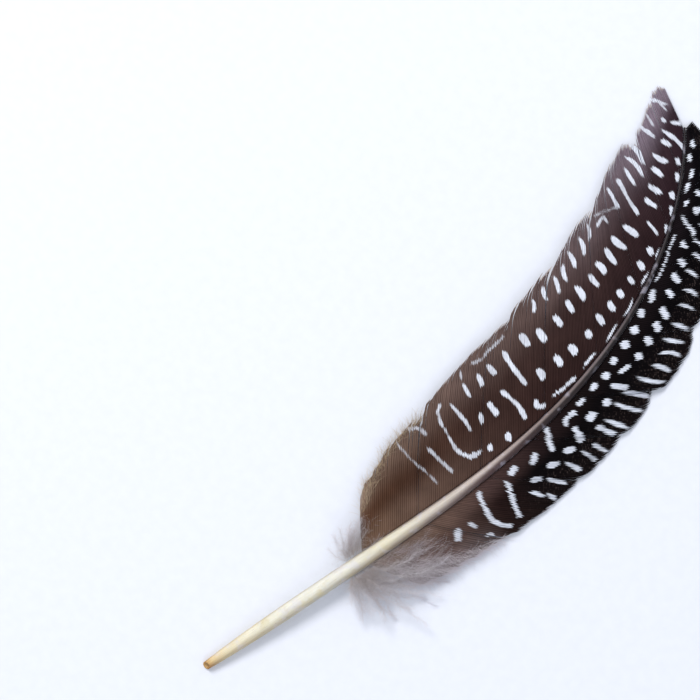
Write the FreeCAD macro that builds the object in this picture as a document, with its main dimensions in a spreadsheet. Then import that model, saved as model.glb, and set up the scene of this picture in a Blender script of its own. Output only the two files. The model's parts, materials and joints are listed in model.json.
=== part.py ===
import FreeCAD, Part
import Sketcher
import math
import os

# A natural, uncut quill: one guinea-fowl wing feather, lying dorsal side up on a table.
# Millimetres. The quill is worked out from the point of its calamus: +Y runs to the feather's tip,
# +X to the narrow leading vane, +Z up. All pieces are then shifted together, so that the origin
# is the middle of the rectangle that the feather covers, on the table.
#
# s is the distance along the shaft, seen from above. The calamus is straight, and past its end
# the shaft bends in plan towards the trailing side and arches down to the table.

Vector = FreeCAD.Vector

# ---------------------------------------------------------------- driving dimensions

DIMENSIONS = [
    # calamus: the hollow barrel
    ("calamus_length", 47.0, "point to superior umbilicus, along s"),
    ("barrel_diameter", 3.7, "truly round stretch"),
    ("barrel_start", 27.0, "s where the round stretch begins"),
    ("barrel_end", 39.0, "s where the round stretch ends"),
    ("neck_diameter", 3.6, "at the calamus's end, where the rachis begins"),
    ("point_diameter", 2.0, "at the point"),
    ("barrel_wall", 0.35, "thickness of the horn wall"),
    ("point_cut_depth", 2.2, "length of the slanting opening at the point"),
    ("heading_deg", 16.4, "calamus, from +Y towards +X"),
    ("tilt_deg", 4.0, "calamus, rise above the table"),
    # rachis: the solid shaft inside the vanes
    ("shaft_end", 181.0, "s of the rachis's thin end"),
    ("rachis_end_width", 0.45, "across the thin end"),
    ("rachis_taper", 1.25, "power of the width's fall"),
    ("rachis_depth_ratio", 1.12, "depth over width, clear of the calamus"),
    ("pith_end", 165.0, "s where the pith runs out"),
    ("groove_start", 60.0, "s where the ventral groove begins"),
    ("turn_deg", 56.5, "turn in plan from calamus to tip"),
    ("turn_power", 1.9, "how late the turn comes"),
    ("arch_drop", 12.5, "fall of the arch at the tip, below the calamus line"),
    # vanes
    ("vane_thickness", 0.4, "barbs and barbules together"),
    ("vane_end", 181.0, "s of the last barbs' roots"),
    ("root_gap", 0.2, "rachis side to vane edge"),
    ("split_gap", 0.45, "between two vane sections, along s"),
    ("down_thickness", 1.2, "tufts of down beside the vane base"),
    ("trailing_edge_lift", 0.38, "height of the outer edge, over the root's"),
    ("leading_base_lift", 0.30, "same, at the base of the leading vane"),
    ("leading_touch", 90.0, "s from which the leading edge lies on the table"),
    ("barb_curl", 0.12, "how far a barb turns towards the tip, over its angle"),
    # small pieces
    ("cap_count", 5, "pulp caps in the round stretch"),
    ("cap_pitch", 3.2, "from one cap to the next"),
    ("cap_thickness", 0.12, "thickness of a cap"),
    ("cap_start", 29.0, "first cap's rim, from the calamus's point"),
    ("plug_length", 4.5, "dried pulp in the point"),
    ("plug_bevel", 1.0, "length of the plug's narrowing inner end"),
    ("fit_gap", 0.03, "loose pieces to the wall around them"),
    ("tuft_length", 9.0, "afterfeather tuft, along the shaft"),
    ("tuft_width", 4.0, "afterfeather tuft, across"),
    ("tuft_depth", 1.2, "afterfeather tuft, up and down"),
    ("tuft_setback", 3.0, "tuft's middle, past the calamus's end"),
]

# Roots of the barbs at the ends of the vane sections, along s.
TRAILING_SPLITS = [47, 63, 82, 102, 121, 139, 157, 170]
LEADING_SPLITS = [47, 64, 82, 96, 110, 127, 146, 165]

# Barb length and barb angle to the shaft, at a few places along s.
TRAILING_LENGTH = [(40, 5), (46, 13), (52, 20), (60, 25.5), (72, 31), (88, 34.5), (104, 37.5),
                   (120, 38.5), (134, 34.5), (148, 28.5), (160, 22), (168, 19.8), (173, 18),
                   (177, 14.8), (181, 10.2)]
TRAILING_ANGLE = [(40, 76), (46, 61), (60, 56), (80, 51), (100, 47), (125, 43), (150, 44), (160, 38),
                  (168, 34), (173, 31), (181, 25)]
LEADING_LENGTH = [(38, 10), (46, 13.5), (55, 16), (65, 20.5), (80, 23.5), (100, 23.5), (115, 22),
                  (130, 20.5), (145, 18.5), (155, 16.5), (163, 13.5), (170, 9.5), (176, 5.5),
                  (181, 2.2)]
LEADING_ANGLE = [(38, 88), (46, 61), (55, 56), (65, 48), (80, 42), (100, 42), (120, 49), (150, 50),
                 (175, 50), (181, 45)]

BARBS = {
    "trailing": (TRAILING_LENGTH, TRAILING_ANGLE),
    "leading": (LEADING_LENGTH, LEADING_ANGLE),
}
SPLITS = {"trailing": TRAILING_SPLITS, "leading": LEADING_SPLITS}

DOWN_START = {"trailing": 42.5, "leading": 41.0}
DOWN_END = 46.4  # just short of the first vane section

BARBS_PER_SURFACE = 9  # barb lines that a section's surface passes through
POINTS_PER_BARB = 8
RACHIS_STATIONS = [0.0, 0.06, 0.14, 0.24, 0.34, 0.44, 0.54, 0.64, 0.74, 0.83, 0.91, 0.96, 1.0]
PITH_STATIONS = [0.0, 0.08, 0.2, 0.34, 0.48, 0.62, 0.76, 0.9, 1.0]
# The furrow, from its start to the pith's end, and how deep it is at each place over its full
# depth. It is clear of the shaft at both ends, so that it runs out instead of ending in a step.
GROOVE_STATIONS = [(0.0, -1.0), (0.15, 1.0), (0.35, 1.0), (0.55, 1.0), (0.8, 1.0), (1.0, -1.0)]
DEPTH_RISE = 0.14  # part of the rachis over which it grows deeper than wide
GROOVE_RADIUS = 0.30  # of the rachis width
GROOVE_BITE = 0.55  # of the cortex's thickness
CORTEX_END_WALL = 0.09  # cortex thickness at the pith's end
CAP_RISE = 0.7  # height of a cap's dome over its radius
CAP_SHOULDER = 0.7  # radius of the dome's shoulder over the cap's radius
CAP_SHOULDER_RISE = 0.525  # height of the shoulder over the cap's radius
PLUG_SHOULDER = 0.6  # radius of the plug's inner end over its full radius
ROOT_RISE = 0.1  # height of the barbs' roots above the shaft's middle, over the shaft's width
CAMBER = 0.35  # part of a barb's fall that is even along it; the rest comes towards its end
TRAILING_SETTLE = 4  # power of the trailing edge's coming down to the table towards the tip
OPENING_CLEARANCE = 1.0  # how far the opening's cut reaches past the calamus's point
SIDE = {"trailing": -1, "leading": 1}

doc = FreeCAD.newDocument("quill")
sheet = doc.addObject("Spreadsheet::Sheet", "Dimensions")
for row, (alias, value, meaning) in enumerate(DIMENSIONS, 1):
    sheet.set("A%d" % row, alias)
    sheet.set("B%d" % row, str(value))
    sheet.set("C%d" % row, meaning)
    sheet.setAlias("B%d" % row, alias)
doc.recompute()


def dim(alias):
    return float(getattr(sheet, alias))


def between(table, place):
    """The table's value at a place along s, on straight lines between its entries."""
    if place <= table[0][0]:
        return table[0][1]
    for (s0, v0), (s1, v1) in zip(table, table[1:]):
        if place <= s1:
            return v0 + (v1 - v0) * (place - s0) / (s1 - s0)
    return table[-1][1]


# ---------------------------------------------------------------- the shaft's line

def heading(s):
    """Heading of the shaft seen from above, in radians from +Y towards +X."""
    start = dim("calamus_length")
    share = max(0.0, s - start) / (dim("shaft_end") - start)
    return math.radians(dim("heading_deg") - dim("turn_deg") * share ** dim("turn_power"))


def height(s):
    """Height of the shaft's middle above the table."""
    start = dim("calamus_length")
    share = max(0.0, s - start) / (dim("shaft_end") - start)
    rise = dim("point_diameter") / 2 + math.tan(math.radians(dim("tilt_deg"))) * s
    return rise - dim("arch_drop") * share ** 2


def shaft_line():
    """Points of the shaft's middle, one every STEP along s."""
    points = [Vector(0, 0, height(0))]
    x = y = 0.0
    for k in range(int(round((dim("shaft_end") + 2) / STEP))):
        middle = (k + 0.5) * STEP
        x += math.sin(heading(middle)) * STEP
        y += math.cos(heading(middle)) * STEP
        points.append(Vector(x, y, height((k + 1) * STEP)))
    return points


STEP = 0.25
LINE = shaft_line()


def shaft_point(s):
    k = min(int(s / STEP), len(LINE) - 2)
    part = s / STEP - k
    return LINE[k] + (LINE[k + 1] - LINE[k]) * part


def shaft_frame(s):
    """Along the shaft, level to the leading side, and up, as unit vectors."""
    slope = (height(s + STEP) - height(s - STEP)) / (2 * STEP)
    turn = heading(s)
    along = Vector(math.sin(turn), math.cos(turn), slope).normalize()
    across = Vector(math.cos(turn), -math.sin(turn), 0)
    return along, across, across.cross(along)


def shaft_width(s):
    start = dim("calamus_length")
    share = min(1.0, max(0.0, s - start) / (dim("shaft_end") - start))
    end = dim("rachis_end_width")
    return end + (dim("neck_diameter") - end) * (1 - share) ** dim("rachis_taper")


# ---------------------------------------------------------------- small helpers

def origin_plane(body, role):
    return [f for f in body.Origin.OriginFeatures if f.Role == role][0]


def sketch_on(body, name, role):
    sketch = body.newObject("Sketcher::SketchObject", name)
    sketch.AttachmentSupport = [(origin_plane(body, role), "")]
    sketch.MapMode = "FlatFace"
    return sketch


def add_chain(sketch, points):
    """Closed chain of straight lines through the points, joined end to end."""
    count = len(points)
    for k in range(count):
        start, end = points[k], points[(k + 1) % count]
        sketch.addGeometry(Part.LineSegment(Vector(*start, 0), Vector(*end, 0)))
    for k in range(count):
        sketch.addConstraint(Sketcher.Constraint("Coincident", k, 2, (k + 1) % count, 1))


def pin_point(sketch, line, which, across, along):
    """Fix a point of a sketch by two expressions: its distances from the origin."""
    for kind, text in (("DistanceX", across), ("DistanceY", along)):
        start = sketch.getPoint(line, which)
        value = start.x if kind == "DistanceX" else start.y
        if abs(value) < 1e-9:
            axis = -2 if kind == "DistanceX" else -1
            sketch.addConstraint(Sketcher.Constraint("PointOnObject", line, which, axis))
            continue
        k = sketch.addConstraint(Sketcher.Constraint(kind, -1, 1, line, which, value))
        sketch.setExpression("Constraints[%d]" % k, text)


def body_on_calamus(label):
    """A body whose own Z is the calamus's axis, from the point inwards, and whose own X is across."""
    body = doc.addObject("PartDesign::Body", label)
    body.Label = label
    along, across, up = shaft_frame(0)
    body.Placement = FreeCAD.Placement(LINE[0], FreeCAD.Rotation(across, -up, along, "ZXY"))
    return body


def revolve(body, sketch, name):
    feature = body.newObject("PartDesign::Revolution", name)
    feature.Profile = sketch
    feature.ReferenceAxis = (sketch, ["V_Axis"])
    feature.Angle = 360
    body.Tip = feature
    return feature


# ---------------------------------------------------------------- calamus and what is in it

SLANT = math.cos(math.radians(dim("tilt_deg")))  # s is level, and the calamus's own Z follows its slope
TAPER_OFFSET = (dim("barrel_diameter") - dim("point_diameter")) / 2


def barrel_radius(s):
    """Outer radius of the calamus: an arc from the point, tangent to the round stretch."""
    start = dim("barrel_start")
    full = dim("barrel_diameter") / 2
    if s >= start:
        return full
    arc = (start ** 2 + TAPER_OFFSET ** 2) / (2 * TAPER_OFFSET)
    return full - arc + math.sqrt(arc ** 2 - (start - s) ** 2)


OUTER_ARC, OUTER_WALL, OUTER_NECK, END_RIM, INNER_NECK, INNER_WALL, INNER_ARC, POINT_RIM = range(8)


def barrel_outline(sketch):
    """Half section of the barrel's wall: tapering arcs, the round stretch and the narrowing neck."""
    wall = dim("barrel_wall")
    start = dim("barrel_start") / SLANT
    end = dim("barrel_end") / SLANT
    length = dim("calamus_length") / SLANT
    outer = dim("barrel_diameter") / 2
    neck = dim("neck_diameter") / 2
    tip = dim("point_diameter") / 2
    radius = (start ** 2 + TAPER_OFFSET ** 2) / (2 * TAPER_OFFSET)
    mid = start / 2
    bulge = outer - radius + math.sqrt(radius ** 2 - mid ** 2)

    def taper(inset):
        low, middle, high = ((tip, 0), (bulge, mid), (outer, start))
        return Part.Arc(*[Vector(x - inset, y, 0) for x, y in (low, middle, high)])

    def line(x0, y0, x1, y1):
        return Part.LineSegment(Vector(x0, y0, 0), Vector(x1, y1, 0))

    sketch.addGeometry(taper(0))
    sketch.addGeometry(line(outer, start, outer, end))
    sketch.addGeometry(line(outer, end, neck, length))
    sketch.addGeometry(line(neck, length, neck - wall, length))
    sketch.addGeometry(line(neck - wall, length, outer - wall, end))
    sketch.addGeometry(line(outer - wall, end, outer - wall, start))
    sketch.addGeometry(taper(wall))
    sketch.addGeometry(line(tip - wall, 0, tip, 0))


def pin_barrel(sketch):
    """Bind the section's corners to the sheet, and join its lines and arcs."""
    wall = " - Dimensions.barrel_wall"
    outer = "Dimensions.barrel_diameter / 2"
    neck = "Dimensions.neck_diameter / 2"
    tip = "Dimensions.point_diameter / 2"
    slant = " / cos(Dimensions.tilt_deg * 1deg)"
    start = "Dimensions.barrel_start" + slant
    end = "Dimensions.barrel_end" + slant
    length = "Dimensions.calamus_length" + slant
    pin_point(sketch, OUTER_WALL, 1, outer, start)
    pin_point(sketch, OUTER_WALL, 2, outer, end)
    pin_point(sketch, END_RIM, 1, neck, length)
    pin_point(sketch, END_RIM, 2, neck + wall, length)
    pin_point(sketch, INNER_WALL, 1, outer + wall, end)
    pin_point(sketch, INNER_WALL, 2, outer + wall, start)
    pin_point(sketch, POINT_RIM, 1, tip + wall, "0")
    pin_point(sketch, POINT_RIM, 2, tip, "0")
    for arc, foot, top in ((OUTER_ARC, (POINT_RIM, 2), (OUTER_WALL, 1)),
                           (INNER_ARC, (POINT_RIM, 1), (INNER_WALL, 2))):
        # an arc runs anticlockwise, so its first point is whichever end that makes it
        low_first = sketch.getPoint(arc, 1).y < sketch.getPoint(arc, 2).y
        low, high = (1, 2) if low_first else (2, 1)
        sketch.addConstraint(Sketcher.Constraint("Coincident", arc, low, *foot))
        sketch.addConstraint(Sketcher.Constraint("Tangent", arc, high, *top))
    for first, second in ((OUTER_WALL, OUTER_NECK), (OUTER_NECK, END_RIM),
                          (END_RIM, INNER_NECK), (INNER_NECK, INNER_WALL)):
        sketch.addConstraint(Sketcher.Constraint("Coincident", first, 2, second, 1))


def make_calamus():
    """Hollow horn barrel: a tapering and a round stretch, with a slanting opening at its point."""
    body = body_on_calamus("calamus_barrel")
    outline = sketch_on(body, "BarrelOutline", "XZ_Plane")
    barrel_outline(outline)
    pin_barrel(outline)
    barrel = revolve(body, outline, "Barrel")
    doc.recompute()

    cut = sketch_on(body, "OpeningOutline", "YZ_Plane")
    depth = dim("point_cut_depth")
    far = dim("point_diameter")
    rim = far / 2
    below = -OPENING_CLEARANCE
    add_chain(cut, [(-far, depth), (rim, 0), (rim, below), (-far, below)])
    pin_point(cut, 0, 1, "-Dimensions.point_diameter", "Dimensions.point_cut_depth")
    pin_point(cut, 1, 1, "Dimensions.point_diameter / 2", "0")
    pin_point(cut, 2, 1, "Dimensions.point_diameter / 2", str(below))
    pin_point(cut, 3, 1, "-Dimensions.point_diameter", str(below))
    opening = body.newObject("PartDesign::Pocket", "Opening")
    opening.Profile = cut
    opening.Type = "ThroughAll"
    opening.SideType = "Symmetric"
    body.Tip = opening
    doc.recompute()
    if not opening.Shape.Volume < barrel.Shape.Volume - 0.1:
        raise RuntimeError("the slanting opening cut nothing")
    return body


def make_pulp_caps():
    """Thin domed caps across the lumen, left where the growing feather's pulp drew back."""
    body = body_on_calamus("pulp_caps")
    body.AllowCompound = True
    outline = sketch_on(body, "CapOutline", "XZ_Plane")
    rim = dim("barrel_diameter") / 2 - dim("barrel_wall") - dim("fit_gap")
    thick = dim("cap_thickness")
    foot = dim("cap_start")
    top = foot + rim * CAP_RISE
    shoulder = foot + rim * CAP_SHOULDER_RISE
    bend = rim * CAP_SHOULDER
    add_chain(outline, [(0, top), (bend, shoulder), (rim, foot), (rim - thick, foot),
                        (bend - thick, shoulder - thick), (0, top - thick)])
    outer = "(Dimensions.barrel_diameter / 2 - Dimensions.barrel_wall - Dimensions.fit_gap)"
    foot_text = "Dimensions.cap_start"
    thin = " - Dimensions.cap_thickness"
    bend_text = "%s * %s" % (CAP_SHOULDER, outer)
    shoulder_text = "%s + %s * %s" % (foot_text, CAP_SHOULDER_RISE, outer)
    top_text = "%s + %s * %s" % (foot_text, CAP_RISE, outer)
    pin_point(outline, 0, 1, "0", top_text)
    pin_point(outline, 1, 1, bend_text, shoulder_text)
    pin_point(outline, 2, 1, outer, foot_text)
    pin_point(outline, 3, 1, outer + thin, foot_text)
    pin_point(outline, 4, 1, bend_text + thin, shoulder_text + thin)
    pin_point(outline, 5, 1, "0", top_text + thin)
    cap = revolve(body, outline, "Cap")
    doc.recompute()
    row = body.newObject("PartDesign::LinearPattern", "CapRow")
    row.Originals = [cap]
    row.Direction = (outline, ["V_Axis"])
    row.Mode = "Spacing"
    row.setExpression("Offset", "Dimensions.cap_pitch")
    row.setExpression("Occurrences", "Dimensions.cap_count")
    body.Tip = row
    doc.recompute()
    return body


def make_tip_plug():
    """Dried pulp that closes the lumen behind the slanting opening."""
    body = body_on_calamus("tip_plug")
    outline = sketch_on(body, "PlugOutline", "XZ_Plane")
    foot = dim("point_cut_depth")
    top = foot + dim("plug_length")
    bevel = top - dim("plug_bevel")
    low = barrel_radius(foot) - dim("barrel_wall") - dim("fit_gap")
    add_chain(outline, [(0, foot), (low, foot), (low, bevel), (low * PLUG_SHOULDER, top), (0, top)])
    low_text = "(%.4f - Dimensions.barrel_wall - Dimensions.fit_gap)" % barrel_radius(foot)
    foot_text = "Dimensions.point_cut_depth"
    top_text = foot_text + " + Dimensions.plug_length"
    pin_point(outline, 0, 1, "0", foot_text)
    pin_point(outline, 1, 1, low_text, foot_text)
    pin_point(outline, 2, 1, low_text, top_text + " - Dimensions.plug_bevel")
    pin_point(outline, 3, 1, "%s * %s" % (PLUG_SHOULDER, low_text), top_text)
    pin_point(outline, 4, 1, "0", top_text)
    revolve(body, outline, "Plug")
    doc.recompute()
    return body


# ---------------------------------------------------------------- rachis

def ellipse(name, s, width, depth, drop):
    """An upright ellipse square to the shaft at s. width and depth are the sheet's expressions."""
    along, across, up = shaft_frame(s)
    section = doc.addObject("Part::Ellipse", name)
    section.setExpression("MajorRadius", "(%s) / 2" % depth)
    section.setExpression("MinorRadius", "(%s) / 2" % width)
    place = shaft_point(s) - up * drop
    section.Placement = FreeCAD.Placement(place, FreeCAD.Rotation(up, across, along, "ZXY"))
    return section


def loft(name, sections):
    solid = doc.addObject("Part::Loft", name)
    solid.Sections = sections
    solid.Solid = True
    return solid


def width_text(share):
    end = "Dimensions.rachis_end_width"
    return "%s + (Dimensions.neck_diameter - %s) * %.6f ^ Dimensions.rachis_taper" % (end, end, 1 - share)


def depth_text(share):
    deeper = min(1.0, share / DEPTH_RISE)
    return "(%s) * (1 + (Dimensions.rachis_depth_ratio - 1) * %.4f)" % (width_text(share), deeper)


def shaft_share(s):
    start = dim("calamus_length")
    return (s - start) / (dim("shaft_end") - start)


def cortex_wall(s):
    """Thickness of the rachis's horn cortex, thinning towards the pith's end."""
    start = dim("calamus_length")
    share = (s - start) / (dim("pith_end") - start)
    return dim("barrel_wall") + (CORTEX_END_WALL - dim("barrel_wall")) * share


def pith_loft(name):
    """The medulla's shape: the rachis less its cortex, over the stretch that has pith."""
    start = dim("calamus_length")
    sections = []
    for k, part in enumerate(PITH_STATIONS):
        s = start + (dim("pith_end") - start) * part
        share = shaft_share(s)
        less = " - 2 * %.4f" % cortex_wall(s)
        sections.append(ellipse("%sStation%d" % (name, k), s, width_text(share) + less,
                                depth_text(share) + less, 0))
    return loft(name, sections)


def groove_loft():
    """A shallow round furrow along the rachis's underside."""
    start = dim("groove_start")
    sections = []
    for k, (part, fullness) in enumerate(GROOVE_STATIONS):
        s = start + (dim("pith_end") - start) * part
        width = shaft_width(s)
        radius = GROOVE_RADIUS * width
        bite = GROOVE_BITE * cortex_wall(s) * fullness
        drop = width * dim("rachis_depth_ratio") / 2 + radius - bite
        round_text = "(%s) * %.4f" % (width_text(shaft_share(s)), 2 * GROOVE_RADIUS)
        sections.append(ellipse("GrooveStation%d" % k, s, round_text, round_text, drop))
    return loft("Groove", sections)


def make_rachis():
    """The shaft inside the vanes: a horn cortex with a ventral furrow, around a core of pith."""
    start = dim("calamus_length")
    sections = []
    for k, share in enumerate(RACHIS_STATIONS):
        s = start + (dim("shaft_end") - start) * share
        sections.append(ellipse("RachisStation%d" % k, s, width_text(share), depth_text(share), 0))
    outside = loft("RachisOutside", sections)
    inside = pith_loft("PithSpace")
    hollow = doc.addObject("Part::Cut", "RachisTube")
    hollow.Base = outside
    hollow.Tool = inside
    cortex = doc.addObject("Part::Cut", "rachis_cortex")
    cortex.Base = hollow
    cortex.Tool = groove_loft()
    cortex.Label = "rachis_cortex"
    pith = pith_loft("rachis_pith")
    pith.Label = "rachis_pith"
    return [cortex, pith]


# ---------------------------------------------------------------- vanes and down

def root_point(side, s):
    """Where a barb leaves the shaft: a little above the shaft's middle, clear of its side."""
    along, across, up = shaft_frame(s)
    width = shaft_width(s)
    out = width / 2 + dim("root_gap")
    return shaft_point(s) + across * (SIDE[side] * out) + Vector(0, 0, ROOT_RISE * width)


def edge_height(side, s, root_z):
    """Height of the vane's top surface at the barb's end."""
    thick = dim("vane_thickness")
    if side == "trailing":
        start = dim("calamus_length")
        share = max(0.0, s - start) / (dim("vane_end") - start)
        lift = dim("trailing_edge_lift") * (1 - share ** TRAILING_SETTLE)
    else:
        reach = dim("leading_touch") - dim("calamus_length")
        lift = dim("leading_base_lift") * (max(0.0, dim("leading_touch") - s) / reach) ** 2
    return thick + lift * (root_z - thick)


def barb_line(side, s, count):
    """Points along one barb: it turns a little towards the feather's tip, and curves down."""
    lengths, angles = BARBS[side]
    length = between(lengths, s)
    angle = math.radians(between(angles, s))
    root = root_point(side, s)
    edge = edge_height(side, s, root.z)
    points = []
    x, y = root.x, root.y
    step = length / (count - 1)
    for k in range(count):
        part = k / (count - 1)
        fall = CAMBER * part + (1 - CAMBER) * part ** 2
        points.append(Vector(x, y, root.z - (root.z - edge) * fall))
        turn = heading(s) + SIDE[side] * angle * (1 - dim("barb_curl") * (part + 0.5 / count))
        x += math.sin(turn) * step
        y += math.cos(turn) * step
    return points


def sheet_solid(side, first, last, thickness):
    """A closed sheet that follows the barbs rooted from first to last. Sections are neither padded
    nor revolved: their top surface passes through the barb lines and is thickened downwards."""
    grid = []
    for k in range(BARBS_PER_SURFACE):
        s = first + (last - first) * k / (BARBS_PER_SURFACE - 1)
        grid.append(barb_line(side, s, POINTS_PER_BARB))
    surface = Part.BSplineSurface()
    surface.interpolate(grid)
    return surface.toShape().extrude(Vector(0, 0, -thickness))


def make_feature(label, shape):
    feature = doc.addObject("Part::Feature", label)
    feature.Label = label
    feature.Shape = shape
    return feature


def vane_stretches(side):
    """Root stretches (first, last) of the vane sections on one side, with a gap at each split."""
    splits = SPLITS[side] + [dim("vane_end")]
    stretches = []
    for k, (first, last) in enumerate(zip(splits, splits[1:])):
        end = last if k == len(splits) - 2 else last - dim("split_gap")
        stretches.append((first, end))
    return stretches


def hinge_line(side, stretch):
    """The line that a vane section flexes about: from its first barb's root to its last barb's."""
    lower = Vector(0, 0, dim("vane_thickness") / 2)
    return root_point(side, stretch[0]) - lower, root_point(side, stretch[1]) - lower


def make_vanes():
    pieces = []
    for side in ("trailing", "leading"):
        for k, (first, last) in enumerate(vane_stretches(side), 1):
            shape = sheet_solid(side, first, last, dim("vane_thickness"))
            pieces.append(make_feature("%s_vane_%d" % (side, k), shape))
        shape = sheet_solid(side, DOWN_START[side], DOWN_END, dim("down_thickness"))
        pieces.append(make_feature("%s_down" % side, shape))
    return pieces


def make_afterfeather():
    """Small tuft of down on the underside, at the superior umbilicus."""
    tuft = doc.addObject("Part::Ellipsoid", "afterfeather_tuft")
    tuft.Label = "afterfeather_tuft"
    tuft.setExpression("Radius1", "Dimensions.tuft_depth / 2")
    tuft.setExpression("Radius2", "Dimensions.tuft_width / 2")
    tuft.setExpression("Radius3", "Dimensions.tuft_length / 2")
    s = dim("calamus_length") + dim("tuft_setback")
    along, across, up = shaft_frame(s)
    below = shaft_width(s) / 2 + dim("tuft_depth") / 2 + dim("fit_gap")
    place = shaft_point(s) - up * below
    tuft.Placement = FreeCAD.Placement(place, FreeCAD.Rotation(across, along, up, "ZXY"))
    return tuft


# ---------------------------------------------------------------- assembly

def box_of(shapes):
    box = FreeCAD.BoundBox()
    for shape in shapes:
        box.add(shape.optimalBoundingBox(True, False))
    return box


def build():
    pieces = [make_calamus(), make_pulp_caps(), make_tip_plug()]
    pieces += make_rachis()
    pieces += make_vanes()
    pieces.append(make_afterfeather())
    doc.recompute()
    return pieces


def check(pieces):
    for thing in doc.Objects:
        if "Invalid" in thing.State or "Error" in thing.State:
            raise RuntimeError("%s failed: %s" % (thing.Label, thing.State))
    for piece in pieces:
        if piece.Shape.isNull() or not piece.Shape.isValid() or not piece.Shape.Solids:
            raise RuntimeError("%s has no valid solid" % piece.Label)


PIECES = build()
check(PIECES)
BOX = box_of([piece.Shape for piece in PIECES])
SHIFT = Vector(-BOX.Center.x, -BOX.Center.y, -BOX.ZMin)
for piece in PIECES:
    piece.Placement = FreeCAD.Placement(piece.Placement.Base + SHIFT, piece.Placement.Rotation)
doc.recompute()
check(PIECES)

os.makedirs("parts", exist_ok=True)
for piece in PIECES:
    piece.Shape.exportStep("parts/%s.step" % piece.Label)
    box = piece.Shape.optimalBoundingBox(True, False)
    print("%-20s %d solid(s) %9.3f mm3  z %.2f to %.2f" % (
        piece.Label, len(piece.Shape.Solids), piece.Shape.Volume, box.ZMin, box.ZMax))
print("box %.2f x %.2f x %.2f mm" % (BOX.XLength, BOX.YLength, BOX.ZLength))
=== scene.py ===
import json
import math
import random

import bmesh
import bpy
import numpy as np
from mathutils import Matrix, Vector


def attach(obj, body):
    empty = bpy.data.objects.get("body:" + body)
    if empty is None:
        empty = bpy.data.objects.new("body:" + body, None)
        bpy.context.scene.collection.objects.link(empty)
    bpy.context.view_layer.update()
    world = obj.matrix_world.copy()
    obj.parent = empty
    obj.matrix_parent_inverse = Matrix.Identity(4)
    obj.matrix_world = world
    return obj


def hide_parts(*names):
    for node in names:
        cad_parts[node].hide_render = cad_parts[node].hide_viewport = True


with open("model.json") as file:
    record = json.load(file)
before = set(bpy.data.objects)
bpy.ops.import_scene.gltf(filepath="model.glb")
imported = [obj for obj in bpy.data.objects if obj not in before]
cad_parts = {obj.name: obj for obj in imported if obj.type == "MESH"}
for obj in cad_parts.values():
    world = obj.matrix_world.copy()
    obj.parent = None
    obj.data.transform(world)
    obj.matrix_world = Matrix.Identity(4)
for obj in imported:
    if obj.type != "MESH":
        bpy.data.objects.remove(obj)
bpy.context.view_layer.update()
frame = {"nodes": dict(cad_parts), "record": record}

# The looks of one natural quill, a guinea-fowl wing feather lying on a pale table.
# Lengths below are in millimetres and are turned into metres when a mesh is made. The quill is
# worked out from the point of its calamus, as in the CAD model: s is the distance along the
# shaft seen from above, the trailing vane is on the left of the shaft and the leading vane on
# its right. SHIFT moves everything into the frame's place.

MM = 0.001

# ---- driving dimensions

CALAMUS_LENGTH = 47.0
SHAFT_END = 181.0
BARREL_RADIUS = 1.85
BARREL_START = 27.0  # from here to BARREL_END the barrel is truly round
BARREL_END = 39.0
NECK_RADIUS = 1.8
POINT_RADIUS = 1.0
BARREL_WALL = 0.35
RIM_WALL = 0.2
OPENING_DEPTH = 2.2  # how far the slanting opening reaches up the calamus
HEADING_DEG = 16.4  # of the calamus, from +Y to the leading side
TURN_DEG = 56.5  # how far the rachis turns back to the trailing side, by share ** TURN_POWER
TURN_POWER = 1.9
TILT_DEG = 4.0  # rise of the calamus
ARCH_DROP = 12.5  # how far the tip lies below that rising line
RACHIS_END_WIDTH = 0.45
RACHIS_TAPER = 1.25
DEPTH_RATIO = 1.12  # depth of the rachis over its width
PITH_END = 165.0
GROOVE_START = 62.0
VANE_THICKNESS = 0.4
ROOT_GAP = 0.1
ROOT_RISE = 0.1  # height of the barb roots over the shaft's middle, over its width
ROOT_DROP = 0.14  # taken off that height
BARB_CURL = 0.12  # share of its angle that a barb loses evenly on its way out
CAMBER = 0.35
TRAILING_LIFT = 0.38  # height of a vane's edge, as a share of its roots' height
LEADING_LIFT = 0.30
LEADING_TOUCH = 90.0  # from here on the leading edge lies on the table
BARB_PITCH = 0.56

# All tables below go by place along the shaft.

SIDE = {"trailing": -1.0, "leading": 1.0}
SPLITS = {
    "trailing": [47, 63, 82, 102, 121, 139, 157, 170, 181],
    "leading": [47, 64, 82, 96, 110, 127, 146, 165, 181],
}
BARB_LENGTH = {
    "trailing": [(40, 5), (46, 13), (52, 20), (60, 25.5), (72, 31), (88, 34.5), (104, 37.5),
                 (120, 38.5), (134, 34.5), (148, 28.5), (160, 22), (168, 19.8), (173, 18), (177, 14.8),
                 (181, 10.2)],
    "leading": [(38, 10), (46, 13.5), (55, 16), (65, 20.5), (80, 23.5), (100, 23.5), (115, 22),
                (130, 20.5), (145, 18.5), (155, 16.5), (163, 13.5), (170, 9.5), (176, 5.5), (181, 2.2)],
}
BARB_ANGLE = {
    "trailing": [(40, 76), (46, 61), (60, 56), (80, 51), (100, 47), (125, 43), (150, 44), (160, 38),
                 (168, 34), (173, 31), (181, 25)],
    "leading": [(38, 88), (46, 61), (55, 56), (65, 48), (80, 42), (100, 42), (120, 49), (150, 50),
                (175, 50), (181, 45)],
}


def at(table, s):
    return np.interp(s, [row[0] for row in table], [row[1] for row in table])


# ---- the shaft's line

STEP = 0.25
BEYOND = 14.0  # how far the line is carried on beyond the shaft's tip


def shaft_share(s):
    return np.maximum(0.0, np.asarray(s, float) - CALAMUS_LENGTH) / (SHAFT_END - CALAMUS_LENGTH)


def heading(s):
    return np.radians(HEADING_DEG - TURN_DEG * shaft_share(s) ** TURN_POWER)


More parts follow.
